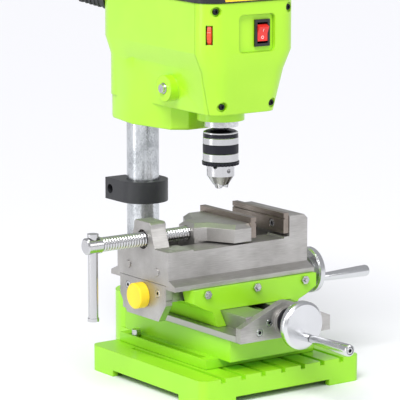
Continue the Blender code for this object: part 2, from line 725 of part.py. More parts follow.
def make_y_bracket(wheel, handle):
    back = VISE_Y - WAY_FRONT_REACH - FIT
    front = back - BRACKET_THICK
    top = arc((0, Y_SCREW_Z), BRACKET_BOSS_R, 62, 118, 7)
    outline = [(-SLIDE_HALF_X, WAY_LOW), (SLIDE_HALF_X, WAY_LOW), (SLIDE_HALF_X, BRACKET_SIDE_TOP)] + top
    outline.append((-SLIDE_HALF_X, BRACKET_SIDE_TOP))
    bracket = plate("y_bracket", CAST, outline, front, back, "XZ")
    hub = rod("y_bracket_hub", None, BRACKET_HUB_R, -OVERRUN, BRACKET_HUB, (0, front, Y_SCREW_Z), (0, -1, 0), 32, cutter=True)
    shape(bracket, hub, "UNION")
    bore = rod("y_bracket_bore", None, SCREW_R + FIT, -BRACKET_THICK - OVERRUN, BRACKET_HUB + OVERRUN, (0, front, Y_SCREW_Z), (0, -1, 0), 16, cutter=True)
    shape(bracket, bore)
    casting = bpy.data.objects["slide_base"]
    for i in range(2):
        x = -Y_BRACKET_SCREW_X + i * Y_BRACKET_SCREW_STEP
        z = Y_BRACKET_SCREW_Z + i * Y_BRACKET_SCREW_RISE
        where = (x, front, z)
        socket_screw(f"y_bracket_screw_{i + 1}", where, (0, -1, 0))
        tool = screw_cutter(f"y_bracket_screw_hole_{i + 1}", where, (0, -1, 0))
        shape(bracket, tool)
        shape(casting, tool)
    crank = (CRANK_OFFSET * math.cos(Y_CRANK_ANGLE), front, Y_SCREW_Z + CRANK_OFFSET * math.sin(Y_CRANK_ANGLE))
    screw_length = BRACKET_THICK + WAY_FRONT_REACH + SLIDE_BACK_REACH - OVERRUN * 3
    make_feed("y", (0, front, Y_SCREW_Z), (0, -1, 0), screw_length, Y_DIAL_LONG, crank, wheel, handle)


def make_saddle(saddle):
    gap = FIT
    foot = WAY_TOP + gap
    roof = Y_TAIL_TOP + gap
    slope = (Y_TAIL_WIDE - Y_TAIL_NARROW) / (Y_TAIL_TOP - WAY_TOP)
    narrow, wide = Y_TAIL_NARROW + gap + slope * gap, Y_TAIL_WIDE + gap + slope * gap
    side = [(SADDLE_LEG_X, foot), (SADDLE_KNEE_X, SADDLE_KNEE_Z), (SADDLE_HAUNCH_X, SADDLE_HAUNCH_Z),
            (SADDLE_HALF_X, SADDLE_END_LOW), (SADDLE_HALF_X, SADDLE_TOP)]
    outline = [(narrow, foot)] + side + [(-x, z) for x, z in reversed(side)]
    outline += [(-narrow, foot), (-wide, roof), (wide, roof)]
    front, back = VISE_Y - SADDLE_HALF_Y, VISE_Y + SADDLE_HALF_Y
    body = plate("saddle", GREEN, outline, front, back, "XZ", saddle)
    tail_slope = (X_TAIL_WIDE - X_TAIL_NARROW) / (SADDLE_TOP - X_TAIL_LOW)
    slot_low = X_TAIL_LOW - gap
    slot_wide, slot_narrow = X_TAIL_WIDE + gap, X_TAIL_NARROW + gap
    rise = SADDLE_TOP + OVERRUN
    pinch = tail_slope * OVERRUN
    gib_wide, gib_narrow = slot_wide + GIB_THICK, slot_narrow + GIB_THICK
    slot = [(VISE_Y - gib_wide - gap, slot_low), (VISE_Y + slot_wide, slot_low),
            (VISE_Y + slot_narrow - pinch, rise), (VISE_Y - gib_narrow - gap + pinch, rise)]
    gib = [(VISE_Y - gib_wide, slot_low + gap), (VISE_Y - slot_wide, slot_low + gap),
           (VISE_Y - slot_narrow, SADDLE_TOP - gap), (VISE_Y - gib_narrow, SADDLE_TOP - gap)]
    plate("x_gib", STEEL, gib, -SADDLE_HALF_X + GIB_END_MARGIN, SADDLE_HALF_X - GIB_END_MARGIN, "YZ", saddle)
    tool = plate("saddle_slot", None, slot, -SADDLE_HALF_X - OVERRUN, SADDLE_HALF_X + OVERRUN, "YZ", cutter=True)
    shape(body, tool)
    groove = block("saddle_screw_groove", None, (-SADDLE_HALF_X - OVERRUN, VISE_Y - SCREW_R - SCREW_FIT, X_SCREW_Z - SCREW_R - SCREW_FIT),
                   (SADDLE_HALF_X + OVERRUN, VISE_Y + SCREW_R + SCREW_FIT, X_SCREW_Z), cutter=True)
    shape(body, groove)
    wall = VISE_Y - SADDLE_HALF_Y
    inner = VISE_Y - gib_narrow - gap - tail_slope * (SADDLE_TOP - GIB_SCREW_Z + GIB_SCREW_R)
    for i in range(3):
        x = (i - 1) * GIB_SCREW_PITCH
        length = inner - wall
        profile = [(0, GIB_SCREW_OUT), (GIB_SCREW_R, GIB_SCREW_OUT), (GIB_SCREW_R, GIB_NUT_THICK + gap),
                   (GIB_NUT_R, GIB_NUT_THICK + gap), (GIB_NUT_R, gap), (GIB_SCREW_R, gap),
                   (GIB_SCREW_R, gap - length), (0, gap - length)]
        turned(f"gib_screw_{i + 1}", STEEL, profile, (x, wall, GIB_SCREW_Z), (0, -1, 0), 6, saddle)
        hole = rod(f"gib_hole_{i + 1}", None, GIB_SCREW_R + gap, -length - gap, OVERRUN, (x, wall, GIB_SCREW_Z), (0, -1, 0), 12, cutter=True)
        shape(body, hole)
    y_nut = block("y_nut", BRASS, (-NUT_HALF_WIDE, VISE_Y - NUT_HALF_LONG, Y_CHANNEL_FLOOR + gap),
                  (NUT_HALF_WIDE, VISE_Y + NUT_HALF_LONG, roof - gap), under=saddle)
    shape(y_nut, rod("y_nut_bore", None, SCREW_R + gap, -NUT_HALF_LONG - OVERRUN, NUT_HALF_LONG + OVERRUN,
                     (0, VISE_Y, Y_SCREW_Z), (0, 1, 0), 16, cutter=True))
    x_nut = block("x_nut", BRASS, (-NUT_HALF_LONG, VISE_Y - NUT_HALF_WIDE, slot_low + gap),
                  (NUT_HALF_LONG, VISE_Y + NUT_HALF_WIDE, X_CHANNEL_TOP - gap), under=saddle)
    shape(x_nut, rod("x_nut_bore", None, SCREW_R + gap, -NUT_HALF_LONG - OVERRUN, NUT_HALF_LONG + OVERRUN,
                     (0, VISE_Y, X_SCREW_Z), (1, 0, 0), 16, cutter=True))


def make_vise_body(vise):
    wing_low = SADDLE_TOP + FIT
    half = [(X_TAIL_WIDE, X_TAIL_LOW), (X_TAIL_NARROW, SADDLE_TOP), (X_TAIL_NARROW, wing_low),
            (VISE_WING_Y, wing_low), (VISE_WING_Y, wing_low + VISE_WING_EDGE), (VISE_HALF_Y, VISE_WING_TOP),
            (VISE_HALF_Y, VISE_TOP)]
    outline = [(VISE_Y + y, z) for y, z in mirrored(half)]
    body = plate("vise_body", CAST, outline, VISE_LEFT, VISE_RIGHT, "YZ", vise)
    jaw_side = [(FIXED_JAW_LEFT, VISE_TOP - OVERRUN), (VISE_RIGHT, VISE_TOP - OVERRUN), (VISE_RIGHT, FIXED_JAW_TOP - CHAMFER),
                (VISE_RIGHT - CHAMFER, FIXED_JAW_TOP), (FIXED_JAW_LEFT, FIXED_JAW_TOP)]
    jaw = plate("vise_fixed_jaw", None, jaw_side, VISE_Y - VISE_HALF_Y, VISE_Y + VISE_HALF_Y, "XZ", cutter=True)
    foot_z = VISE_TOP - OVERRUN
    lug_half = [(LUG_FOOT_HALF, foot_z), (LUG_FOOT_HALF, VISE_TOP), (LUG_TOP_HALF, LUG_SHOULDER),
                (LUG_TOP_HALF, LUG_TOP - CHAMFER / 2), (LUG_TOP_HALF - CHAMFER / 2, LUG_TOP)]
    lug = plate("vise_lug", None, [(VISE_Y + y, z) for y, z in mirrored(lug_half)],
                VISE_LEFT, VISE_LEFT + LUG_THICK, "YZ", cutter=True)
    shape(body, jaw, "UNION")
    shape(body, lug, "UNION")
    slot = block("vise_slot", None, (VISE_LEFT + LUG_THICK, VISE_Y - VISE_SLOT_HALF, VISE_SLOT_FLOOR),
                 (FIXED_JAW_LEFT, VISE_Y + VISE_SLOT_HALF, VISE_TOP + OVERRUN), cutter=True)
    step = block("vise_step", None, (VISE_LEFT + LUG_THICK + VISE_STEP_LONG, VISE_Y - VISE_HALF_Y - OVERRUN, VISE_TOP - VISE_STEP),
                 (FIXED_JAW_LEFT - VISE_STEP_LONG / 2, VISE_Y + VISE_HALF_Y + OVERRUN, VISE_TOP + OVERRUN), cutter=True)
    channel = block("vise_channel", None, (VISE_LEFT - OVERRUN, VISE_Y - CHANNEL_HALF, X_TAIL_LOW - OVERRUN),
                    (VISE_RIGHT + OVERRUN, VISE_Y + CHANNEL_HALF, X_CHANNEL_TOP), cutter=True)
    recess = block("vise_end_recess", None, (VISE_LEFT - OVERRUN, VISE_Y - END_PLATE_HALF - FIT, X_TAIL_LOW - OVERRUN),
                   (VISE_LEFT + END_PLATE_THICK + FIT, VISE_Y + END_PLATE_HALF + FIT, END_PLATE_TOP + FIT), cutter=True)
    mouth = turned("vise_lug_bore", None, [
        (0, OVERRUN), (LUG_MOUTH_R, OVERRUN), (LUG_MOUTH_R, -LUG_MOUTH_DEEP), (VISE_SCREW_R + FIT, -LUG_MOUTH_DEEP),
        (VISE_SCREW_R + FIT, -LUG_THICK - OVERRUN), (0, -LUG_THICK - OVERRUN)],
        (VISE_LEFT, VISE_Y, VISE_SCREW_Z), (-1, 0, 0), 24, cutter=True)
    for tool in (slot, step, channel, recess, mouth):
        shape(body, tool)
    for i, side in enumerate((1, -1)):
        plug = rod(f"vise_plug_{i + 1}", None, PLUG_R, -OVERRUN, PLUG_OUT, (VISE_LEFT, VISE_Y + side * PLUG_Y, PLUG_Z), (-1, 0, 0), 16, cutter=True)
        shape(body, plug, "UNION")
    return body


def jaw_screw_cutter(name, x, y, axis):
    """The counterbored hole of a jaw plate's screw; x is the plate's working face."""
    head, shank = JAW_SCREW_HEAD_R + FIT, JAW_SCREW_R + FIT
    deep = JAW_PLATE_THICK + JAW_BORE_DEEP / 2
    return turned(name, None, [(0, OVERRUN), (head, OVERRUN), (head, -JAW_SCREW_HEAD - FIT), (shank, -JAW_SCREW_HEAD - FIT),
                               (shank, -deep), (0, -deep)], (x, y, JAW_SCREW_Z), axis, 16, cutter=True)


def make_jaws(body, vise, jaw_body):
    fixed_face = FIXED_JAW_LEFT - JAW_PLATE_THICK - FIT
    top = JAW_PLATE_TOP

    def steel_plate(name, face, back, under):
        inward = math.copysign(JAW_GROOVE, back - face)
        low, high = sorted((face, back))
        made = block(name, STEEL, (low, VISE_Y - JAW_PLATE_HALF, JAW_PLATE_LOW), (high, VISE_Y + JAW_PLATE_HALF, top), under=under)
        near, far = sorted((face - inward * 2, face + inward))
        shape(made, block(name + "_groove", None, (near, VISE_Y - JAW_PLATE_HALF - OVERRUN, JAW_GROOVE_Z - JAW_GROOVE),
                          (far, VISE_Y + JAW_PLATE_HALF + OVERRUN, JAW_GROOVE_Z), cutter=True))
        return made

    fixed = steel_plate("fixed_jaw_plate", fixed_face, fixed_face + JAW_PLATE_THICK, vise)
    moving = steel_plate("moving_jaw_plate", JAW_FACE_X, JAW_FACE_X - JAW_PLATE_THICK, jaw_body)
    hole = jaw_screw_cutter("fixed_jaw_hole", fixed_face, VISE_Y - JAW_SCREW_Y, (-1, 0, 0))
    shape(fixed, hole)
    shape(body, hole)
    length = JAW_PLATE_THICK + JAW_BORE_DEEP / 2 - FIT
    turned("fixed_jaw_screw", STEEL, [(0, -FIT), (JAW_SCREW_HEAD_R, -FIT), (JAW_SCREW_HEAD_R, -JAW_SCREW_HEAD),
                                      (JAW_SCREW_R, -JAW_SCREW_HEAD), (JAW_SCREW_R, -length), (0, -length)],
           (fixed_face, VISE_Y - JAW_SCREW_Y, JAW_SCREW_Z), (-1, 0, 0), 12, vise)
    right = JAW_FACE_X - JAW_PLATE_THICK - FIT
    outline = [(right, -JAW_HALF_Y), (right, JAW_HALF_Y), (JAW_BACK_X, JAW_HALF_Y), (JAW_WAIST_X, JAW_WAIST_Y),
               (JAW_NOSE_X, JAW_NOSE_Y), (JAW_NOSE_X, -JAW_NOSE_Y), (JAW_WAIST_X, -JAW_WAIST_Y), (JAW_BACK_X, -JAW_HALF_Y)]
    flat = [(x, VISE_Y + y) for x, y in outline]
    crown = [(x if x == right else x + CHAMFER, VISE_Y + y - math.copysign(CHAMFER, y)) for x, y in outline]
    jaw = loft("moving_jaw", CAST, [(VISE_TOP + FIT, flat), (JAW_TOP - CHAMFER, flat), (JAW_TOP, crown)], jaw_body)
    key = block("jaw_key", None, (JAW_NOSE_X, VISE_Y - JAW_KEY_HALF, VISE_TOP - JAW_KEY_DEEP), (right, VISE_Y + JAW_KEY_HALF, VISE_TOP + OVERRUN), cutter=True)
    shape(jaw, key, "UNION")
    shape(jaw, rod("jaw_bore", None, VISE_SCREW_R + FIT, -OVERRUN, JAW_BORE_DEEP, (JAW_NOSE_X, VISE_Y, VISE_SCREW_Z), (1, 0, 0), 24, cutter=True))


def make_vise_screw(screw, bar):
    inner = JAW_NOSE_X + JAW_BORE_DEEP - FIT
    profile = [(0, VISE_HEAD_HALF), (VISE_HEAD_R, VISE_HEAD_HALF), (VISE_HEAD_R, -VISE_HEAD_HALF), (VISE_SCREW_R, -VISE_HEAD_HALF),
               (VISE_SCREW_R, VISE_HEAD_X - inner), (0, VISE_HEAD_X - inner)]
    body = turned("vise_screw", STEEL, profile, (VISE_HEAD_X, VISE_Y, VISE_SCREW_Z), (-1, 0, 0), 24, screw)
    cross = rod("vise_head_hole", None, BAR_R + FIT, -VISE_HEAD_R * 2, VISE_HEAD_R * 2, (VISE_HEAD_X, VISE_Y, VISE_SCREW_Z), steps=16, cutter=True)
    shape(body, cross)
    top = VISE_HEAD_R + FIT
    profile = [(0, top + BAR_CAP), (BAR_CAP_R, top + BAR_CAP), (BAR_CAP_R, top), (BAR_R, top),
               (BAR_R, top - BAR_LONG), (BAR_CAP_R, top - BAR_LONG), (BAR_CAP_R, top - BAR_LONG - BAR_CAP), (0, top - BAR_LONG - BAR_CAP)]
    turned("vise_handle_bar", STEEL, profile, (VISE_HEAD_X, VISE_Y, VISE_SCREW_Z), steps=16, under=bar)


def make_x_ends(body, vise, wheel, handle):
    outer = VISE_LEFT
    half = [(END_PLATE_FOOT_HALF, END_PLATE_LOW), (END_PLATE_HALF, END_PLATE_NECK_Z), (END_PLATE_HALF, END_PLATE_TOP)]
    outline = [(VISE_Y + y, z) for y, z in mirrored(half)]
    end = plate("x_end_plate", CAST, outline, outer, outer + END_PLATE_THICK, "YZ", vise)
    shape(end, rod("x_end_bore", None, SCREW_R + FIT, -END_PLATE_THICK - OVERRUN, OVERRUN, (outer, VISE_Y, X_SCREW_Z), (-1, 0, 0), 16, cutter=True))
    for i, side in enumerate((1, -1)):
        where = (outer, VISE_Y + side * END_PLATE_SCREW_Y, END_PLATE_SCREW_Z)
        socket_screw(f"x_end_plate_screw_{i + 1}", where, (-1, 0, 0), vise)
        tool = screw_cutter(f"x_end_plate_hole_{i + 1}", where, (-1, 0, 0))
        shape(end, tool)
        shape(body, tool)
    cap = [(0, CAP_LONG), (CAP_R * COVER_CORNER_SHARE, CAP_LONG), (CAP_R, CAP_LONG * COVER_CORNER_SHARE), (CAP_R, FIT),
           (CAP_BORE_R, FIT), (CAP_BORE_R, CAP_BORE_DEEP), (0, CAP_BORE_DEEP)]
    turned("x_screw_cap", YELLOW, cap, (outer, VISE_Y, X_SCREW_Z), (-1, 0, 0), 28, vise)
    low, high = VISE_RIGHT + FIT, VISE_RIGHT + FIT + BRACKET_THICK
    boss = arc((VISE_Y, X_SCREW_Z), BRACKET_BOSS_R, 180, 360, 11)
    outline = boss + [(VISE_Y + END_PLATE_HALF, X_SCREW_Z), (VISE_Y + END_PLATE_HALF, END_PLATE_TOP),
                      (VISE_Y - END_PLATE_HALF, END_PLATE_TOP), (VISE_Y - END_PLATE_HALF, X_SCREW_Z)]
    bracket = plate("x_bracket", CAST, outline, low, high, "YZ", vise)
    shape(bracket, rod("x_bracket_hub", None, BRACKET_HUB_R, -OVERRUN, BRACKET_HUB, (high, VISE_Y, X_SCREW_Z), (1, 0, 0), 32, cutter=True), "UNION")
    shape(bracket, rod("x_bracket_bore", None, SCREW_R + FIT, -BRACKET_THICK - OVERRUN, BRACKET_HUB + OVERRUN,
                       (high, VISE_Y, X_SCREW_Z), (1, 0, 0), 16, cutter=True))
    crank = (high, VISE_Y + CRANK_OFFSET * math.cos(X_CRANK_ANGLE), X_SCREW_Z + CRANK_OFFSET * math.sin(X_CRANK_ANGLE))
    screw_length = high - VISE_LEFT + CAP_BORE_DEEP - OVERRUN / 2
    make_feed("x", (high, VISE_Y, X_SCREW_Z), (1, 0, 0), screw_length, X_DIAL_LONG, crank, wheel, handle)


def head_outline(half, front, corner, rear, inset=0.0):
    """A level outline of the head: flat front, round corners, straight sides running to the round back."""
    half, corner, rear = half - inset, corner - inset, rear - inset
    face = -THROAT - front + inset
    side = Vector((half, face + corner))
    reach = side.length
    lean = math.degrees(math.acos(rear / reach))
    bearing = math.degrees(math.atan2(side.y, side.x))
    start = bearing + lean
    points = arc((half - corner, face + corner), corner, -90, 0, 9) + arc((0, 0), rear, start, 180 - start, 17)
    return points + arc((-half + corner, face + corner), corner, 180, 270, 9)


def neck_outline(share=1.0):
    """The neck's underside: round behind the column, widest beside it and closing to a blunt nose."""
    half = [(NECK_HALF_FRONT * 0.55, NECK_FRONT_Y - NECK_NOSE), (NECK_HALF_FRONT, NECK_FRONT_Y), (NECK_HALF_WIDE, NECK_WIDE_Y)]
    back = arc((0, 0), NECK_REAR_R, 5, 175, 13)
    outline = half + back + [(-x, y) for x, y in reversed(half)]
    return [(x * share, y * share) for x, y in outline]


def make_head(head):
    levels = (
        (HEAD_LOW, HEAD_LOW_HALF, HEAD_FRONT_LOW, HEAD_CORNER_LOW, HEAD_REAR_R_LOW),
        (HEAD_CREASE_LOW, HEAD_CREASE_HALF, HEAD_FRONT_CREASE, HEAD_CORNER, HEAD_REAR_R_LOW),
        (HEAD_CREASE_TOP, HEAD_TOP_HALF, HEAD_FRONT_TOP, HEAD_CORNER, HEAD_REAR_R),
        (HEAD_TOP, HEAD_TOP_HALF, HEAD_FRONT_TOP, HEAD_CORNER, HEAD_REAR_R),
    )
    sections = [(z, head_outline(half, front, corner, rear)) for z, half, front, corner, rear in levels]
    room = [(max(z, HEAD_LOW + HEAD_FLOOR), head_outline(half, front, corner, rear, HEAD_WALL)) for z, half, front, corner, rear in levels]
    z, outline = room[-1]
    room[-1] = (z + OVERRUN, outline)
    shell = loft("head_casting", GREEN, sections, head)
    front = loft("front_cover", GREEN, sections, head)
    neck = loft("head_neck", None, [(z, neck_outline(share)) for z, share in NECK_SHARES], cutter=True)
    guide = rod("quill_guide", None, GUIDE_R, GUIDE_LOW, GUIDE_TOP, (0, -THROAT, 0), steps=32, cutter=True)
    sleeve = rod("column_sleeve", None, CLAMP_SLEEVE_R, NECK_LOW + OVERRUN, CLAMP_SLEEVE_TOP, (0, 0, 0), steps=32, cutter=True)
    hollow = loft("head_room", None, room, cutter=True)
    wide = HEAD_TOP_HALF + OVERRUN
    ahead = block("cover_side", None, (-wide, -THROAT - HEAD_FRONT_TOP - OVERRUN, NECK_LOW), (wide, COVER_BACK_Y, HEAD_TOP + OVERRUN), cutter=True)
    behind = block("casting_side", None, (-wide, COVER_BACK_Y - FIT, NECK_LOW - OVERRUN), (wide, HEAD_REAR_R + OVERRUN, HEAD_TOP + OVERRUN), cutter=True)
    shape(shell, neck, "UNION")
    shape(shell, hollow)
    shape(shell, ahead)
    for tool in (guide, sleeve):
        shape(shell, tool, "UNION")
    shape(front, hollow)
    shape(front, behind)
    bores = [
        rod("quill_bore", None, QUILL_R + FIT, NECK_LOW - OVERRUN, GUIDE_TOP + OVERRUN, (0, -THROAT, 0), steps=32, cutter=True),
        rod("head_bore", None, COLUMN_R + FIT, NECK_LOW - OVERRUN, CLAMP_SLEEVE_TOP + OVERRUN, (0, 0, 0), steps=32, cutter=True),
    ]
    for tool in reversed(bores):
        shape(shell, tool)
    return shell, front


def make_pinion(shell, quill, shaft):
    """The quill with its rack, and the pinion shaft that crosses the head behind it."""
    pinion_y = -THROAT + QUILL_R + PINION_R
    outer = HEAD_CREASE_HALF + PINION_BOSS_OUT
    for name, side in (("pinion_boss_left", -1), ("pinion_boss_right", 1)):
        boss = rod(name, None, PINION_BOSS_R, HEAD_LOW_HALF - HEAD_WALL * 2, outer, (0, pinion_y, PINION_Z), (side, 0, 0), 28, cutter=True)
        shape(shell, boss, "UNION")
    hole = rod("pinion_shaft_hole", None, PINION_SHAFT_R + FIT, -outer - OVERRUN, outer + OVERRUN, (0, pinion_y, PINION_Z), (1, 0, 0), 20, cutter=True)
    room = block("pinion_room", None, (-PINION_HALF_LONG - FIT * 2, pinion_y - PINION_R * 2, PINION_Z - PINION_R - TOOTH_HEIGHT - FIT * 2),
                 (PINION_HALF_LONG + FIT * 2, pinion_y + PINION_R + TOOTH_HEIGHT + FIT, PINION_Z + PINION_R + TOOTH_HEIGHT + FIT * 2), cutter=True)
    shape(shell, hole)
    shape(shell, room)
    pitch = 2 * math.pi / PINION_TEETH
    teeth = []
    for i in range(PINION_TEETH):
        for share, radius in ((-0.40, -TOOTH_HEIGHT), (-0.14, TOOTH_HEIGHT / 2), (0.14, TOOTH_HEIGHT / 2), (0.40, -TOOTH_HEIGHT)):
            turn = (i + share) * pitch
            teeth.append((pinion_y + (PINION_R + radius - FIT) * math.cos(turn), PINION_Z + (PINION_R + radius - FIT) * math.sin(turn)))
    gear = plate("pinion_shaft", STEEL, teeth, -PINION_HALF_LONG, PINION_HALF_LONG, "YZ", shaft)
    right = outer + FIT + LEVER_HUB_LONG
    profile = [(0, right), (PINION_SHAFT_R, right), (PINION_SHAFT_R, -outer - FIT), (PINION_BOLT_R, -outer - FIT),
               (PINION_BOLT_R, -outer - PINION_BOLT), (0, -outer - PINION_BOLT)]
    shape(gear, turned("pinion_rod", None, profile, (0, pinion_y, PINION_Z), (1, 0, 0), 16, cutter=True), "UNION")
    profile = [(QUILL_R, QUILL_TOP), (QUILL_R, QUILL_LOW), (QUILL_BORE_R, QUILL_LOW), (QUILL_BORE_R, QUILL_TOP)]
    sleeve = turned("quill", STEEL, profile, (0, -THROAT, 0), steps=32, under=quill, ring=True)
    gap = pitch * PINION_R
    rack_y = -THROAT + QUILL_R
    cuts = []
    first = math.ceil((GUIDE_LOW - PINION_Z) / gap)
    last = math.floor((QUILL_TOP - PINION_Z) / gap)
    for i in range(first, last):
        z = PINION_Z + (i + 0.5) * gap - gap / 2
        cuts.append(((-PINION_HALF_LONG, rack_y - TOOTH_HEIGHT, z - gap * 0.32), (PINION_HALF_LONG, rack_y + OVERRUN, z + gap * 0.32)))
    shape(sleeve, boxes("rack_gaps", cuts))
    hub_low = outer + FIT
    return pinion_y, hub_low


def make_lever(shaft, pinion_y, hub_low):
    """The feed lever on the pinion shaft's right end."""
    middle = hub_low + LEVER_HUB_LONG / 2
    where = (0, pinion_y, PINION_Z)
    hub = rod("feed_lever", STEEL, LEVER_HUB_R, hub_low, hub_low + LEVER_HUB_LONG, where, (1, 0, 0), 24, shaft)
    level = Vector((0, -math.cos(LEVER_ANGLE), math.sin(LEVER_ANGLE)))
    way = level * math.cos(LEVER_LEAN) + Vector((math.sin(LEVER_LEAN), 0, 0))
    start = (middle, pinion_y, PINION_Z)
    shape(hub, rod("lever_rod", None, LEVER_ROD_R, LEVER_HUB_R / 2, LEVER_LONG, start, way, 16, cutter=True), "UNION")
    shape(hub, rod("lever_hub_bore", None, PINION_SHAFT_R + FIT, hub_low - OVERRUN, hub_low + LEVER_HUB_LONG + OVERRUN, where, (1, 0, 0), 16, cutter=True))
    low = LEVER_LONG - GRIP_BORE_DEEP
    top = low + GRIP_LONG
    grip = [(0, top), (GRIP_R * 0.6, top), (GRIP_R, top - GRIP_R * 0.6), (GRIP_R * 0.8, low), (LEVER_ROD_R + FIT, low),
            (LEVER_ROD_R + FIT, LEVER_LONG + FIT), (0, LEVER_LONG + FIT)]
    turned("lever_grip", BLACK, grip, start, way, 20, shaft)


def make_spindle(spindle, chuck, jaws):
    at = (0, -THROAT, 0)
    profile = [(0, SPINDLE_TOP), (SPINDLE_R, SPINDLE_TOP), (SPINDLE_R, QUILL_TOP + FIT + SPINDLE_COLLAR),
               (SPINDLE_COLLAR_R, QUILL_TOP + FIT + SPINDLE_COLLAR), (SPINDLE_COLLAR_R, QUILL_TOP + FIT), (SPINDLE_R, QUILL_TOP + FIT),
               (SPINDLE_R, TAPER_TOP), (CHUCK_BORE_R - FIT, TAPER_LOW), (0, TAPER_LOW)]
    turned("spindle", STEEL, profile, at, steps=20, under=spindle)
    core = CHUCK_CORE_R
    profile = [
        (CHUCK_NECK_R, CHUCK_NECK_TOP), (CHUCK_NECK_R, CHUCK_TOP), (CHUCK_TOP_R, CHUCK_TOP - (CHUCK_TOP - CHUCK_SLEEVE_TOP) / 3),
        (CHUCK_TOP_R, CHUCK_SLEEVE_TOP + FIT), (core, CHUCK_SLEEVE_TOP + FIT), (core, CHUCK_TEETH_LOW + FIT),
        (CHUCK_BODY_R, CHUCK_TEETH_LOW), (CHUCK_BODY_R, CHUCK_CONE_TOP), (CHUCK_NOSE_R, CHUCK_TIP + FIT * 2), (0, CHUCK_TIP + FIT * 2),
        (0, TAPER_LOW - FIT), (CHUCK_BORE_R, TAPER_LOW - FIT), (CHUCK_BORE_R, CHUCK_NECK_TOP)]
    outer, inner = profile[:10], profile[10:]
    body = turned("chuck_body", STEEL, [(0, CHUCK_NECK_TOP)] + outer, at, steps=32, under=spindle)
    shape(body, turned("chuck_bore", None, [(0, CHUCK_NECK_TOP + OVERRUN), (CHUCK_BORE_R, CHUCK_NECK_TOP + OVERRUN),
                                            (CHUCK_BORE_R, inner[0][1]), (0, inner[0][1])], at, steps=20, cutter=True))
    for i in range(3):
        turn = math.radians(30 + 120 * i)
        out = Vector((math.cos(turn), math.sin(turn), 0))
        where = Vector((0, -THROAT, KEY_HOLE_Z)) + out * CHUCK_BODY_R
        shape(body, rod(f"key_hole_{i + 1}", None, KEY_HOLE_R, -KEY_HOLE_DEEP, OVERRUN, where, out, 12, cutter=True))
    tube("chuck_sleeve", STEEL, CHUCK_SLEEVE_R, core + FIT, CHUCK_TEETH_TOP, CHUCK_SLEEVE_TOP, at, steps=32, under=chuck)
    sleeve = bpy.data.objects["chuck_sleeve"]
    shape(sleeve, tube("chuck_teeth_ring", None, CHUCK_TEETH_R, core + FIT, CHUCK_TEETH_LOW + FIT, CHUCK_TEETH_TOP + FIT, at, steps=24, cutter=True), "UNION")
    for i, under in enumerate(jaws):
        turn = math.radians(90 + 120 * i)
        out = Vector((math.cos(turn), math.sin(turn), 0))
        lean = (out * math.sin(CHUCK_JAW_LEAN) + Vector((0, 0, math.cos(CHUCK_JAW_LEAN)))).normalized()
        foot = Vector((0, -THROAT, CHUCK_JAW_LOW)) + out * CHUCK_JAW_CENTRE_OUT
        bore = rod(f"jaw_bore_{i + 1}", None, JAW_ROD_R + FIT, -OVERRUN, CHUCK_BORE_LONG, foot, lean, 16, cutter=True)
        shape(body, bore)
        jaw = rod(f"chuck_jaw_{i + 1}", STEEL, JAW_ROD_R, 0, CHUCK_JAW_LONG, foot, lean, 16, under)
        wedge = [(FIT, 0)] + arc((0, 0), CHUCK_BODY_R, -58, 58, 5)
        tool = plate(f"jaw_wedge_{i + 1}", None, wedge, CHUCK_JAW_LOW - OVERRUN, CHUCK_SLEEVE_TOP, cutter=True, angle=turn, centre=(0, -THROAT, 0))
        shape(jaw, tool, "INTERSECT")


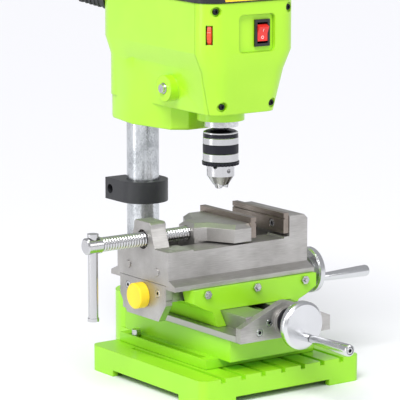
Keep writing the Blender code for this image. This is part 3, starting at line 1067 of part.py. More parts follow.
def make_drive(shell, head, rotor, pulley):
    """Motor under the head's deck, pulleys and belt over it."""
    at = (0, MOTOR_Y, 0)
    can = turned("motor", BLACK, [(0, PLATE_Z - FIT), (MOTOR_R, PLATE_Z - FIT), (MOTOR_R, MOTOR_LOW), (0, MOTOR_LOW)], at, steps=28, under=head)
    shape(can, rod("motor_shaft_hole", None, MOTOR_SHAFT_R + FIT, MOTOR_LOW + MOTOR_R, PLATE_Z - FIT + OVERRUN, at, steps=12, cutter=True))
    inner = HEAD_WALL / 2
    outline = head_outline(HEAD_TOP_HALF, HEAD_FRONT_TOP, HEAD_CORNER, HEAD_REAR_R, inner)
    deck = plate("drive_deck", None, outline, PLATE_Z, PLATE_Z + PLATE_THICK, cutter=True)
    clear = block("deck_front_trim", None, (-HEAD_TOP_HALF, -THROAT - HEAD_FRONT_TOP, PLATE_Z - OVERRUN),
                  (HEAD_TOP_HALF, COVER_BACK_Y + OVERRUN, PLATE_Z + PLATE_THICK + OVERRUN), cutter=True)
    shape(deck, clear)
    shape(shell, deck, "UNION")
    shape(shell, rod("plate_motor_hole", None, MOTOR_SHAFT_R + FIT, PLATE_Z - OVERRUN, PLATE_Z + PLATE_THICK + OVERRUN, at, steps=12, cutter=True))
    shape(shell, rod("plate_spindle_hole", None, PULLEY_HUB_R + FIT, PLATE_Z - OVERRUN, PLATE_Z + PLATE_THICK + OVERRUN, (0, -THROAT, 0), steps=20, cutter=True))
    shaft_low = MOTOR_LOW + MOTOR_R + FIT

    def grooved(radius, hub_low, hub_r):
        top = PULLEY_LOW + PULLEY_THICK
        lip = radius + PULLEY_LIP
        return [(0, top), (lip, top), (lip, top - PULLEY_LIP_THICK), (radius, top - PULLEY_LIP_THICK * 2),
                (radius, PULLEY_LOW + PULLEY_LIP_THICK * 2), (lip, PULLEY_LOW + PULLEY_LIP_THICK), (lip, PULLEY_LOW),
                (hub_r, PULLEY_LOW), (hub_r, hub_low), (0, hub_low)]

    turned("motor_pulley", ALLOY, grooved(MOTOR_PULLEY_R, shaft_low, MOTOR_SHAFT_R), at, steps=24, under=rotor)
    wheel = turned("spindle_pulley", ALLOY, grooved(SPINDLE_PULLEY_R, PLATE_Z, PULLEY_HUB_R), (0, -THROAT, 0), steps=28, under=pulley)
    shape(wheel, rod("pulley_bore", None, SPINDLE_R + FIT, PLATE_Z - OVERRUN, HEAD_TOP + OVERRUN, (0, -THROAT, 0), steps=20, cutter=True))
    span = MOTOR_Y + THROAT
    gap = FIT * 2
    tilt = math.degrees(math.asin((SPINDLE_PULLEY_R - MOTOR_PULLEY_R) / span))

    def loop(extra):
        front = arc((0, -THROAT), SPINDLE_PULLEY_R + extra, 180 - tilt, 360 + tilt, 15)
        return front + arc((0, MOTOR_Y), MOTOR_PULLEY_R + extra, tilt, 180 - tilt, 11)

    low, high = PULLEY_LOW + PULLEY_LIP_THICK * 2 + gap, PULLEY_LOW + PULLEY_THICK - PULLEY_LIP_THICK * 2 - gap
    belt = plate("drive_belt", RUBBER, loop(gap + BELT_THICK), low, high, under=head)
    shape(belt, plate("belt_inside", None, loop(gap), low - OVERRUN, high + OVERRUN, cutter=True))


def make_cover(head):
    low = HEAD_TOP + FIT
    outline = head_outline(HEAD_TOP_HALF, HEAD_FRONT_TOP, HEAD_CORNER, HEAD_REAR_R, -COVER_OUT)
    top = head_outline(HEAD_TOP_HALF, HEAD_FRONT_TOP, HEAD_CORNER, HEAD_REAR_R, COVER_OUT)
    cover = loft("top_cover", BLACK, [(low, outline), (COVER_TOP - COVER_WALL, outline), (COVER_TOP, top)], head)
    inside = head_outline(HEAD_TOP_HALF, HEAD_FRONT_TOP, HEAD_CORNER, HEAD_REAR_R, COVER_WALL)
    shape(cover, loft("cover_room", None, [(low - OVERRUN, inside), (COVER_TOP - COVER_WALL, inside)], cutter=True))


def make_controls(shell, front, head, rocker, speed):
    face = -THROAT - HEAD_FRONT_TOP
    recess = plate("switch_recess", None, rounded(RECESS_X - RECESS_HALF_X, RECESS_Z - RECESS_HALF_Z, RECESS_X + RECESS_HALF_X, RECESS_Z + RECESS_HALF_Z, RECESS_CORNER),
                   face - OVERRUN, face + RECESS_DEEP, "XZ", cutter=True)
    floor = face + RECESS_DEEP
    shape(front, recess)
    opening = block("switch_opening", None, (SWITCH_X - ROCKER_HALF_X - COVER_WALL / 2 - FIT, face - OVERRUN, RECESS_Z - ROCKER_HALF_Z - COVER_WALL / 2 - FIT),
                    (SWITCH_X + ROCKER_HALF_X + COVER_WALL / 2 + FIT, floor + HEAD_WALL, RECESS_Z + ROCKER_HALF_Z + COVER_WALL / 2 + FIT), cutter=True)
    shape(front, opening)
    frame = block("switch_frame", BLACK, (SWITCH_X - SWITCH_HALF_X, floor - SWITCH_OUT, RECESS_Z - SWITCH_HALF_Z),
                  (SWITCH_X + SWITCH_HALF_X, floor - FIT, RECESS_Z + SWITCH_HALF_Z), under=head)
    body = block("switch_body", None, (SWITCH_X - ROCKER_HALF_X - COVER_WALL / 2, floor - SWITCH_OUT + FIT, RECESS_Z - ROCKER_HALF_Z - COVER_WALL / 2),
                 (SWITCH_X + ROCKER_HALF_X + COVER_WALL / 2, floor + SWITCH_BODY_DEEP, RECESS_Z + ROCKER_HALF_Z + COVER_WALL / 2), cutter=True)
    shape(frame, body, "UNION")
    shape(frame, block("switch_well", None, (SWITCH_X - ROCKER_HALF_X, floor - SWITCH_OUT - OVERRUN, RECESS_Z - ROCKER_HALF_Z - FIT),
                       (SWITCH_X + ROCKER_HALF_X, floor + SWITCH_BODY_DEEP - COVER_WALL / 2, RECESS_Z + ROCKER_HALF_Z + FIT), cutter=True))
    pivot_y = floor - SWITCH_OUT + SWITCH_BODY_DEEP / 4
    lean = math.radians(12)
    deep, crest = SWITCH_BODY_DEEP / 3, ROCKER_OUT + SWITCH_BODY_DEEP / 4
    half_z = ROCKER_HALF_Z - FIT * 3
    raw = [(-deep, -half_z * 0.5), (-deep, half_z * 0.5), (0, half_z * 0.93), (crest * 0.72, half_z * 0.80),
           (crest * 0.50, 0), (crest * 0.72, -half_z * 0.80), (0, -half_z * 0.93)]
    outline = []
    for out, up in raw:
        outline.append((pivot_y - out * math.cos(lean) - up * math.sin(lean) * 0.999, RECESS_Z + up * math.cos(lean) - out * math.sin(lean)))
    plate("switch_rocker", RED, outline, SWITCH_X - ROCKER_HALF_X + FIT, SWITCH_X + ROCKER_HALF_X - FIT, "YZ", rocker)
    corner = Vector((-HEAD_TOP_HALF + HEAD_CORNER, face + HEAD_CORNER, SPEED_Z))
    out = Vector((-1, -1, 0)).normalized()
    across = Vector((1, -1, 0)).normalized()
    centre = corner + out * (HEAD_CORNER + SPEED_OUT - SPEED_R)
    pin = SPEED_THICK / 2 + SPEED_PIN_LONG
    shape(front, rod("speed_cheeks", None, SPEED_CHEEK_R, -pin, pin, centre, across, 28, cutter=True), "UNION")
    shape(front, rod("speed_pin_hole", None, SPEED_PIN_R + FIT, -pin - OVERRUN, pin + OVERRUN, centre, across, 12, cutter=True))
    slot = rod("speed_slot", None, SPEED_SLOT_HALF, -SPEED_SLOT_WIDTH / 2, SPEED_SLOT_WIDTH / 2, centre, across, 28, cutter=True)
    shape(shell, slot)
    shape(front, slot)
    half = SPEED_THICK / 2
    turned("speed_wheel", ORANGE, [(0, pin), (SPEED_PIN_R, pin), (SPEED_PIN_R, half), (SPEED_R, half), (SPEED_R, -half),
                                   (SPEED_PIN_R, -half), (SPEED_PIN_R, -pin), (0, -pin)], centre, across, 28, speed)
    for name, side, x, z in (("a", -1, HOLE_TOP_X, HOLE_TOP_Z), ("b", 1, HOLE_TOP_X, HOLE_TOP_Z), ("c", -1, HOLE_LOW_X, HOLE_LOW_Z), ("d", 1, HOLE_LOW_X, HOLE_LOW_Z)):
        shape(front, rod(f"cover_hole_{name}", None, HOLE_R, -OVERRUN, HEAD_CORNER, (side * x, face, z), (0, 1, 0), 16, cutter=True))
    return centre


def make_gland(shell, head):
    """The cord's rubber gland at the back of the head."""
    y = math.sqrt((HEAD_REAR_R + FIT) ** 2 - GLAND_X ** 2)
    face = HEAD_REAR_R + FIT
    profile = [(0, GLAND_LONG), (GLAND_TIP_R, GLAND_LONG), (GLAND_R, GLAND_FLANGE), (GLAND_R, 0), (0, 0)]
    away = Vector((GLAND_X, y, 0)).normalized()
    gland = turned("cord_gland", BLACK, profile, away * face + Vector((0, 0, GLAND_Z)), away, 20, head)
    shape(gland, rod("gland_bore", None, GLAND_BORE_R, GLAND_FLANGE, GLAND_LONG + OVERRUN, away * face + Vector((0, 0, GLAND_Z)), away, 12, cutter=True))


def main():
    make_base()
    column = empty("column_axis", (0, 0, BOSS_HEIGHT))
    make_column(column)
    collar = empty("collar_slide", (0, 0, COLLAR_LOW), column)
    make_collar(collar)
    make_slide_base()
    bracket_y = VISE_Y - WAY_FRONT_REACH - FIT - BRACKET_THICK
    y_wheel = empty("y_wheel_axis", (0, bracket_y, Y_SCREW_Z))
    y_crank = empty("y_crank_axis", (CRANK_OFFSET * math.cos(Y_CRANK_ANGLE), bracket_y, Y_SCREW_Z + CRANK_OFFSET * math.sin(Y_CRANK_ANGLE)), y_wheel)
    make_y_bracket(y_wheel, y_crank)
    saddle = empty("saddle_slide", (0, VISE_Y, WAY_TOP))
    make_saddle(saddle)
    vise = empty("vise_slide", (0, VISE_Y, SADDLE_TOP), saddle)
    body = make_vise_body(vise)
    jaw = empty("moving_jaw_slide", (JAW_FACE_X, VISE_Y, VISE_TOP), vise)
    make_jaws(body, vise, jaw)
    screw = empty("vise_screw_axis", (VISE_HEAD_X, VISE_Y, VISE_SCREW_Z), jaw)
    bar = empty("handle_bar_slide", (VISE_HEAD_X, VISE_Y, VISE_SCREW_Z), screw)
    make_vise_screw(screw, bar)
    bracket_x = VISE_RIGHT + FIT + BRACKET_THICK
    x_wheel = empty("x_wheel_axis", (bracket_x, VISE_Y, X_SCREW_Z), vise)
    x_crank = empty("x_crank_axis", (bracket_x, VISE_Y + CRANK_OFFSET * math.cos(X_CRANK_ANGLE), X_SCREW_Z + CRANK_OFFSET * math.sin(X_CRANK_ANGLE)), x_wheel)
    make_x_ends(body, vise, x_wheel, x_crank)
    head = empty("head_slide", (0, 0, NECK_LOW), column)
    shell, front = make_head(head)
    quill = empty("quill_slide", (0, -THROAT, QUILL_LOW), head)
    pinion_y = -THROAT + QUILL_R + PINION_R
    shaft = empty("pinion_axis", (0, pinion_y, PINION_Z), head)
    pinion_y, hub_low = make_pinion(shell, quill, shaft)
    make_lever(shaft, pinion_y, hub_low)
    spindle = empty("spindle_axis", (0, -THROAT, QUILL_LOW), quill)
    chuck = empty("chuck_sleeve_axis", (0, -THROAT, CHUCK_TEETH_LOW), spindle)
    jaws = [empty(f"chuck_jaw_slide_{i + 1}", (0, -THROAT, CHUCK_JAW_LOW), spindle) for i in range(3)]
    make_spindle(spindle, chuck, jaws)
    rotor = empty("rotor_axis", (0, MOTOR_Y, PULLEY_LOW), head)
    pulley = empty("pulley_axis", (0, -THROAT, PULLEY_LOW), head)
    make_drive(shell, head, rotor, pulley)
    make_cover(head)
    face = -THROAT - HEAD_FRONT_TOP
    rocker = empty("rocker_axis", (SWITCH_X, face + RECESS_DEEP - SWITCH_OUT + SWITCH_BODY_DEEP / 4, RECESS_Z), head)
    out = Vector((-1, -1, 0)).normalized()
    wheel_at = Vector((-HEAD_TOP_HALF + HEAD_CORNER, face + HEAD_CORNER, SPEED_Z)) + out * (HEAD_CORNER + SPEED_OUT - SPEED_R)
    speed = empty("speed_axis", wheel_at, head)
    make_controls(shell, front, head, rocker, speed)
    make_gland(shell, head)


main()
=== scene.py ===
# %% [markdown]
# This lesson dresses a micro drill press: a cast base, a round column, a belt-driven head, a keyed chuck
# and a cross-slide vise with crank wheels. The solids are already made and jointed. Here they get their
# finishes, and the small pieces that a plain solid leaves out, such as threads, teeth, graduations and
# screw sockets.

# %% Load the solids
import math

import bmesh
import bpy
from mathutils import Matrix, Vector


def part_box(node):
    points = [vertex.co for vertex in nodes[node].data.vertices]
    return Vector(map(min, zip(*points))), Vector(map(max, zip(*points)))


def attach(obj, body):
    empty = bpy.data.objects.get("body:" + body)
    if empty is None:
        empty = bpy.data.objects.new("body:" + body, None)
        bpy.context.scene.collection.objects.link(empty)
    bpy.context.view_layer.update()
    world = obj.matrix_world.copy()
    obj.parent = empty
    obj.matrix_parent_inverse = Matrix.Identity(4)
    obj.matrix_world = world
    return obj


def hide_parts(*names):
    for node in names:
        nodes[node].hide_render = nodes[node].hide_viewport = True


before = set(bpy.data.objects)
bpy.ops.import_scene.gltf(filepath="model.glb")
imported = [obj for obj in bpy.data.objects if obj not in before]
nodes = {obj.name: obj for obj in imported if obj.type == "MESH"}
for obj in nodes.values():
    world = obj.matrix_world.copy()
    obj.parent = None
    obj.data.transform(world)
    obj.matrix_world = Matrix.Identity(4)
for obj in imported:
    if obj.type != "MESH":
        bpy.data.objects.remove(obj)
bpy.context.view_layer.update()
MM = 0.001

# %% [markdown]
# The camera repeats the photograph's. Its direction, distance and focal length were solved from straight
# edges of the base and the vise, so it is given as a place and three axes and needs no aiming.

# %% Camera
PHOTO_PIXELS = 400
FOCAL_PIXELS = 2424.5
SENSOR = 36.0
CAMERA_AT = Vector((-1.33549, -1.96355, 0.57860))
CAMERA_RIGHT = Vector((0.81321, -0.58197, 0.0))
CAMERA_UP = Vector((0.10345, 0.14456, 0.98407))
CAMERA_BACK = Vector((-0.57270, -0.80026, 0.17777))

camera = bpy.data.objects.new("camera", bpy.data.cameras.new("camera"))
bpy.context.scene.collection.objects.link(camera)
camera_axes = Matrix((CAMERA_RIGHT, CAMERA_UP, CAMERA_BACK)).transposed().to_4x4()
camera.matrix_world = Matrix.Translation(CAMERA_AT) @ camera_axes
camera.data.sensor_width = SENSOR
camera.data.lens = FOCAL_PIXELS / PHOTO_PIXELS * SENSOR
camera.data.clip_start = 0.05
camera.data.clip_end = 60
bpy.context.scene.camera = camera
print("lens in mm", round(camera.data.lens, 1))

# %% [markdown]
# Colours are read off as sRGB hex, the way a paint card gives them, and shaders work in linear light, so one
# function turns the first into the second. A second one adds a shader node with its settings and its links.


# %% Colour and node helpers
def linear(hex_colour):
    channels = [int(hex_colour[i:i + 2], 16) / 255 for i in (1, 3, 5)]
    return (*[c / 12.92 if c <= 0.04045 else ((c + 0.055) / 1.055) ** 2.4 for c in channels], 1.0)


def add(tree, kind, sockets=None, **settings):
    node = tree.nodes.new(kind)
    for key, value in settings.items():
        setattr(node, key, value)
    for key, value in (sockets or {}).items():
        if isinstance(value, bpy.types.NodeSocket):
            tree.links.new(value, node.inputs[key])
        else:
            node.inputs[key].default_value = value
    return node


def blend(tree, factor, first, second):
    """Mixes two colours by a factor socket. Each colour is a socket or a fixed value."""
    mix = add(tree, "ShaderNodeMix", data_type="RGBA")
    tree.links.new(factor, mix.inputs[0])
    for slot, value in zip(mix.inputs[6:8], (first, second)):
        if isinstance(value, bpy.types.NodeSocket):
            tree.links.new(value, slot)
        else:
            slot.default_value = value
    return mix.outputs[2]


def new_finish(name, **sockets):
    """A material with its Principled shader's sockets set, and its node tree."""
    finish = bpy.data.materials.new(name)
    finish.use_nodes = True
    shader = finish.node_tree.nodes["Principled BSDF"]
    for key, value in sockets.items():
        shader.inputs[key.replace("_", " ")].default_value = value
    return finish, finish.node_tree, shader


def per_mm(size):
    """A texture's scale for a feature of this size in millimetres."""
    return 1 / (size * MM)


# %% [markdown]
# The castings are sprayed with a lime green enamel over aluminium. Sprayed paint dries with a faint orange
# peel, pools a little lighter on broad faces, and its edges are never knife sharp. So the colour drifts
# slowly between two greens, a fine noise gives the peel, and a Bevel node rounds the edges as a casting's
# are. The lower slide's ways are ground after painting, so above their height the same finish turns to bare
# metal.

# %% Lime enamel on a casting
DRIFT_SIZE = 45
PEEL_SIZE = 1.6
BARE_METAL = "#BDBBB8"


def sprayed_enamel(name, light, deep, edge, ground_above=None):
    """Paint with a slow drift between two greens. Above a height in mm the metal is ground bare."""
    finish, tree, shader = new_finish(name, Roughness=0.34, Coat_Weight=0.25, Coat_Roughness=0.12, IOR=1.5)
    place = add(tree, "ShaderNodeTexCoord").outputs["Object"]
    drift = add(tree, "ShaderNodeTexNoise",
                {"Vector": place, "Scale": per_mm(DRIFT_SIZE), "Detail": 3.0, "Roughness": 0.5})
    colour = blend(tree, drift.outputs["Fac"], linear(light), linear(deep))
    if ground_above is not None:
        height = add(tree, "ShaderNodeSeparateXYZ", {"Vector": place}).outputs["Z"]
        above = add(tree, "ShaderNodeMath", {0: height, 1: ground_above * MM}, operation="GREATER_THAN")
        bare = above.outputs[0]
        colour = blend(tree, bare, colour, linear(BARE_METAL))
        gloss = add(tree, "ShaderNodeMapRange", {"Value": bare, "To Min": 0.34, "To Max": 0.42})
        coat = add(tree, "ShaderNodeMapRange", {"Value": bare, "To Min": 0.25, "To Max": 0.0})
        tree.links.new(bare, shader.inputs["Metallic"])
        tree.links.new(gloss.outputs["Result"], shader.inputs["Roughness"])
        tree.links.new(coat.outputs["Result"], shader.inputs["Coat Weight"])
    tree.links.new(colour, shader.inputs["Base Color"])
    round_edge = add(tree, "ShaderNodeBevel", {"Radius": edge * MM}, samples=4)
    peel = add(tree, "ShaderNodeTexNoise",
               {"Vector": place, "Scale": per_mm(PEEL_SIZE), "Detail": 4.0, "Roughness": 0.6})
    bump = add(tree, "ShaderNodeBump",
               {"Height": peel.outputs["Fac"], "Normal": round_edge.outputs["Normal"],
                "Strength": 0.10, "Distance": 0.12 * MM})
    tree.links.new(bump.outputs["Normal"], shader.inputs["Normal"])
    return finish


lime_enamel = sprayed_enamel("lime_enamel", "#A4E426", "#92D81C", 1.2)
lime_enamel_ways = sprayed_enamel("lime_enamel_with_ground_ways", "#A4E426", "#92D81C", 1.0,
                                  ground_above=55.4)
# The head's copy is a lighter green: painted light, for the stronger light on the head.
lime_enamel_head_painted_light = sprayed_enamel("lime_enamel_head_painted_light", "#B4EA2C", "#A4E022", 1.6)

# %% [markdown]
# The vise is ground cast aluminium. A grinding wheel leaves fine scratches in one direction, here along the
# jaws' travel, and the alloy shows soft grey patches. The scratches are noise stretched along X and drawn
# at half a millimetre, which is coarser than real ones, so that they still show.

# %% Ground alloy
PATCH_SIZE = 28


def ground_metal(name, dark, pale, rough, streak, scratch, metallic=0.9, edge=0.5):
    finish, tree, shader = new_finish(name, Metallic=metallic)
    place = add(tree, "ShaderNodeTexCoord").outputs["Object"]
    along = add(tree, "ShaderNodeMapping", {"Vector": place, "Scale": [1 / (size * MM) for size in streak]})
    lines = add(tree, "ShaderNodeTexNoise",
                {"Vector": along.outputs["Vector"], "Scale": 1.0, "Detail": 5.0, "Roughness": 0.65})
    patches = add(tree, "ShaderNodeTexNoise", {"Vector": place, "Scale": per_mm(PATCH_SIZE), "Detail": 3.0})
    both = add(tree, "ShaderNodeMath", {0: lines.outputs["Fac"], 1: patches.outputs["Fac"]}, operation="ADD")
    tone = add(tree, "ShaderNodeMapRange", {"Value": both.outputs[0], "From Min": 0.75, "From Max": 1.3})
    ramp = add(tree, "ShaderNodeValToRGB", {"Fac": tone.outputs["Result"]})
    ramp.color_ramp.elements[0].color = linear(dark)
    ramp.color_ramp.elements[1].color = linear(pale)
    tree.links.new(ramp.outputs["Color"], shader.inputs["Base Color"])
    gloss = add(tree, "ShaderNodeMapRange",
                {"Value": tone.outputs["Result"], "To Min": rough + 0.08, "To Max": rough - 0.06})
    tree.links.new(gloss.outputs["Result"], shader.inputs["Roughness"])
    round_edge = add(tree, "ShaderNodeBevel", {"Radius": edge * MM}, samples=4)
    bump = add(tree, "ShaderNodeBump",
               {"Height": lines.outputs["Fac"], "Normal": round_edge.outputs["Normal"],
                "Strength": scratch, "Distance": 0.05 * MM})
    tree.links.new(bump.outputs["Normal"], shader.inputs["Normal"])
    return finish


ground_alloy = ground_metal("ground_alloy", "#A3A09D", "#C4C2BF", 0.40, (16, 0.5, 0.5), 0.15, edge=0.9)
jaw_steel = ground_metal("hardened_jaw_steel", "#7C726A", "#A0968D", 0.34, (0.5, 12, 0.5), 0.2)
zinc_steel = ground_metal("zinc_plated_steel", "#A8A9AA", "#E2E3E4", 0.26, (3, 3, 3), 0.15, 1.0)
column_zinc = ground_metal("bright_zinc_column", "#9EA2A5", "#DDE0E2", 0.24, (1.4, 1.4, 2.2), 0.5, 1.0)

# %% [markdown]
# The wheels and crank handles are polished steel off the lathe. The cutter leaves rings round the axis, and
# they stretch each highlight into a bow tie. A radial Tangent with some anisotropy gives that, as long as
# the piece's own Z is its turning axis, so the lathe shapes below are all made that way.

# %% Turned and polished metal
RING_SIZE = 0.5


def turned_metal(name, colour, rough, swirl):
    finish, tree, shader = new_finish(name, Metallic=1.0, Anisotropic=swirl, Base_Color=linear(colour))
    place = add(tree, "ShaderNodeTexCoord").outputs["Object"]
    flat = add(tree, "ShaderNodeVectorMath", {0: place, 1: (1, 1, 0)}, operation="MULTIPLY")
    radius = add(tree, "ShaderNodeVectorMath", {0: flat.outputs["Vector"]}, operation="LENGTH")
    rings = add(tree, "ShaderNodeTexNoise",
                {"W": radius.outputs["Value"], "Scale": per_mm(RING_SIZE), "Detail": 3.0}, noise_dimensions="1D")
    gloss = add(tree, "ShaderNodeMapRange",
                {"Value": rings.outputs["Fac"], "To Min": rough - 0.05, "To Max": rough + 0.08})
    tree.links.new(gloss.outputs["Result"], shader.inputs["Roughness"])
    bump = add(tree, "ShaderNodeBump", {"Height": rings.outputs["Fac"], "Strength": 0.12, "Distance": 0.05 * MM})
    tree.links.new(bump.outputs["Normal"], shader.inputs["Normal"])
    tangent = add(tree, "ShaderNodeTangent", direction_type="RADIAL", axis="Z")
    tree.links.new(tangent.outputs["Tangent"], shader.inputs["Tangent"])
    return finish


polished_wheel = turned_metal("polished_wheel_steel", "#D9DADC", 0.2, 0.75)
turned_steel = turned_metal("turned_steel", "#C9C9CA", 0.2, 0.3)
black_oxide = turned_metal("black_oxide_steel", "#34343A", 0.3, 0.2)

# %% [markdown]
# Moulded plastics and rubber take a fine spark-eroded texture from their moulds. They differ in colour, gloss
# and grain, so one function makes them all.

# %% Moulded plastics and rubber
def moulded(name, colour, rough, grain, depth):
    finish, tree, shader = new_finish(name, Base_Color=linear(colour), Roughness=rough, IOR=1.5)
    place = add(tree, "ShaderNodeTexCoord").outputs["Object"]
    texture = add(tree, "ShaderNodeTexNoise", {"Vector": place, "Scale": per_mm(grain), "Detail": 3.0})
    round_edge = add(tree, "ShaderNodeBevel", {"Radius": 0.4 * MM}, samples=4)
    bump = add(tree, "ShaderNodeBump",
               {"Height": texture.outputs["Fac"], "Normal": round_edge.outputs["Normal"],
                "Strength": depth, "Distance": 0.08 * MM})
    tree.links.new(bump.outputs["Normal"], shader.inputs["Normal"])
    return finish


black_abs = moulded("black_abs", "#1E1F22", 0.42, 0.9, 0.2)
collar_black = moulded("painted_black_collar", "#2B2C2F", 0.4, 1.4, 0.25)
yellow_plastic = moulded("yellow_plastic", "#FFDB2B", 0.38, 1.2, 0.12)
red_switch = moulded("red_switch", "#E8332B", 0.25, 2.0, 0.05)
orange_plastic = moulded("orange_plastic", "#F4512C", 0.35, 0.8, 0.2)
black_rubber = moulded("black_rubber", "#3A3B3E", 0.62, 0.6, 0.3)
white_print = moulded("white_print", "#F2F2F0", 0.5, 2.0, 0.0)
dark_print = moulded("dark_print", "#202124", 0.6, 2.0, 0.0)
brass = ground_metal("brass", "#B08A3C", "#D9B765", 0.3, (4, 0.5, 0.5), 0.2, 1.0)
# Painted shade: the dark colour for the inside of screw sockets.
painted_socket_shade = moulded("painted_socket_shade", "#26272A", 0.5, 2.0, 0.0)

# %% [markdown]
# The solids come in as flat triangles. Welding their corners, splitting only at real edges and weighting
# the normals by area makes round faces read as round while flat ones stay flat. Their vertices aren't
# touched.


# %% Finish the solids
def dress(name, finish, edge_angle=32):
    mesh = nodes[name].data
    custom = mesh.attributes.get("custom_normal")
    if custom:
        mesh.attributes.remove(custom)
    mesh.shade_smooth()
    weld = nodes[name].modifiers.new("weld", "WELD")
    weld.merge_threshold = 0.01 * MM
    split = nodes[name].modifiers.new("real_edges", "EDGE_SPLIT")
    split.split_angle = math.radians(edge_angle)
    weighted = nodes[name].modifiers.new("area_weights", "WEIGHTED_NORMAL")
    weighted.keep_sharp = True
    mesh.materials.clear()
    mesh.materials.append(finish)


FINISHES = {
    lime_enamel: ["base_casting", "saddle"],
    lime_enamel_ways: ["slide_base"],
    lime_enamel_head_painted_light: ["head_casting", "front_cover"],
    ground_alloy: ["y_bracket", "vise_body", "moving_jaw", "x_end_plate", "x_bracket"],
    jaw_steel: ["fixed_jaw_plate", "moving_jaw_plate"],
    column_zinc: ["column"],
    zinc_steel: ["column_lock_bolt", "slide_bolt_left", "slide_bolt_right", "y_leadscrew", "x_gib",
                 "gib_screw_1", "gib_screw_2", "gib_screw_3", "x_leadscrew", "pinion_shaft", "quill",
                 "feed_lever", "spindle", "chuck_jaw_1", "chuck_jaw_2", "chuck_jaw_3",
                 "motor_pulley", "spindle_pulley"],
    brass: ["x_nut", "y_nut"],
    turned_steel: ["vise_handle_bar"],
    collar_black: ["depth_collar"],
    black_abs: ["motor", "top_cover", "switch_frame", "lever_grip"],
    yellow_plastic: ["x_screw_cap"],
    red_switch: ["switch_rocker"],
    black_rubber: ["drive_belt"],
}
for finish, names in FINISHES.items():
    for name in names:
        dress(name, finish)
print("finished", sum(map(len, FINISHES.values())), "solids as they are")

# %% [markdown]
# Most of the added pieces are turned, so one function spins a profile of (radius, height) pairs round its
# own Z axis and stands it on its place along any axis. The radius may vary with the angle, which gives
# teeth and knurls.


# %% Lathe helper
def place_piece(name, made, finish, body, at, axis, stands_for=(), edge_angle=35):
    bmesh.ops.recalc_face_normals(made, faces=made.faces)
    mesh = bpy.data.meshes.new(name)
    made.to_mesh(mesh)
    made.free()
    mesh.shade_smooth()
    mesh.set_sharp_from_angle(angle=math.radians(edge_angle))
    mesh.materials.append(finish)
    piece = bpy.data.objects.new(name, mesh)
    bpy.context.scene.collection.objects.link(piece)
    turn = Vector((0, 0, 1)).rotation_difference(Vector(axis)).to_matrix().to_4x4()
    piece.matrix_world = Matrix.Translation(at) @ turn
    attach(piece, body)
    if stands_for:
        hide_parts(*stands_for)
    return piece


def spin(name, profile, finish, body, at, axis, steps=48, stands_for=(), ring=False, wobble=None,
         edge_angle=35):
    """Turns (radius, height) pairs into a solid. wobble(angle, radius, height) adds to the radius."""
    made = bmesh.new()
    rings = []
    for radius, height in profile:
        row = []
        for i in range(steps):
            angle = 2 * math.pi * i / steps
            r = radius + (wobble(angle, radius, height) if wobble else 0)
            row.append(made.verts.new((r * math.cos(angle), r * math.sin(angle), height)))
        rings.append(row)
    for above, below in zip(rings, rings[1:] + rings[:1] if ring else rings[1:]):
        for i in range(steps):
            j = (i + 1) % steps
            made.faces.new((above[i], below[i], below[j], above[j]))
    if not ring:
        made.faces.new(rings[0])
        made.faces.new(list(reversed(rings[-1])))
    return place_piece(name, made, finish, body, at, axis, stands_for, edge_angle)


def in_mm(pairs):
    """A profile given in millimetres."""
    return [(radius * MM, height * MM) for radius, height in pairs]


def measure(node):
    low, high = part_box(node)
    return low, high, (low + high) / 2


# %% [markdown]
# A cap screw's head has a chamfered rim and a hexagon socket. The socket is cut as real walls and a floor,
# because a painted hexagon looks flat from the side. Its walls and floor take a dark colour, which is
# painted shade for the shade that falls inside a socket.


# %% Socket cap screws
def cap_screw(node, body, axis, head_r, head_long, shank_r, hexagon):
    """A socket screw that stands for a solid one. The axis points out of its head."""
    low, high, middle = measure(node)
    axis = Vector(axis)
    length = abs((high - low).dot(axis))
    top = middle + axis * length / 2
    made = bmesh.new()
    corners = 24

    def circle(radius, height):
        turns = [2 * math.pi * i / corners for i in range(corners)]
        return [made.verts.new((radius * math.cos(t), radius * math.sin(t), height)) for t in turns]

    def hexed(across, height):
        verts = []
        for i in range(corners):
            t = 2 * math.pi * i / corners
            r = across / math.cos((t % (math.pi / 3)) - math.pi / 6)
            verts.append(made.verts.new((r * math.cos(t), r * math.sin(t), height)))
        return verts

    rim = 0.3 * MM
    rows = [hexed(hexagon, -head_long * 0.6), hexed(hexagon, 0), circle(head_r - rim, 0),
            circle(head_r, -rim), circle(head_r, -head_long), circle(shank_r, -head_long),
            circle(shank_r, -length)]
    for k, (above, below) in enumerate(zip(rows, rows[1:])):
        for i in range(corners):
            j = (i + 1) % corners
            made.faces.new((above[i], below[i], below[j], above[j])).material_index = 1 if k == 0 else 0
    made.faces.new(rows[0]).material_index = 1
    made.faces.new(list(reversed(rows[-1])))
    piece = place_piece(node + "_cap", made, zinc_steel, body, top, axis, (node,))
    # The second material, on the socket's walls and floor, is painted shade.
    piece.data.materials.append(painted_socket_shade)
    return piece


for i in (1, 2):
    cap_screw(f"y_bracket_screw_{i}", "base", (0, -1, 0), 3.6 * MM, 3.5 * MM, 2.0 * MM, 1.5 * MM)
    cap_screw(f"x_end_plate_screw_{i}", "vise", (-1, 0, 0), 3.6 * MM, 3.5 * MM, 2.0 * MM, 1.5 * MM)
cap_screw("fixed_jaw_screw", "vise", (-1, 0, 0), 4.0 * MM, 3.2 * MM, 2.2 * MM, 1.8 * MM)
cap_screw("y_crank_bolt", "y_wheel", (0, -1, 0), 3.4 * MM, 3.0 * MM, 2.0 * MM, 1.6 * MM)
cap_screw("x_crank_bolt", "x_wheel", (1, 0, 0), 3.4 * MM, 3.0 * MM, 2.0 * MM, 1.6 * MM)

# %% [markdown]
# Each lead screw ends in the same set: a black ring in the gap before the drum, whose black is painted shade
# for that gap, a graduated drum, a disc wheel with a faintly conical face and chamfered rim, and a tapered
# handle that turns on its bolt. One function makes the set for either axis.

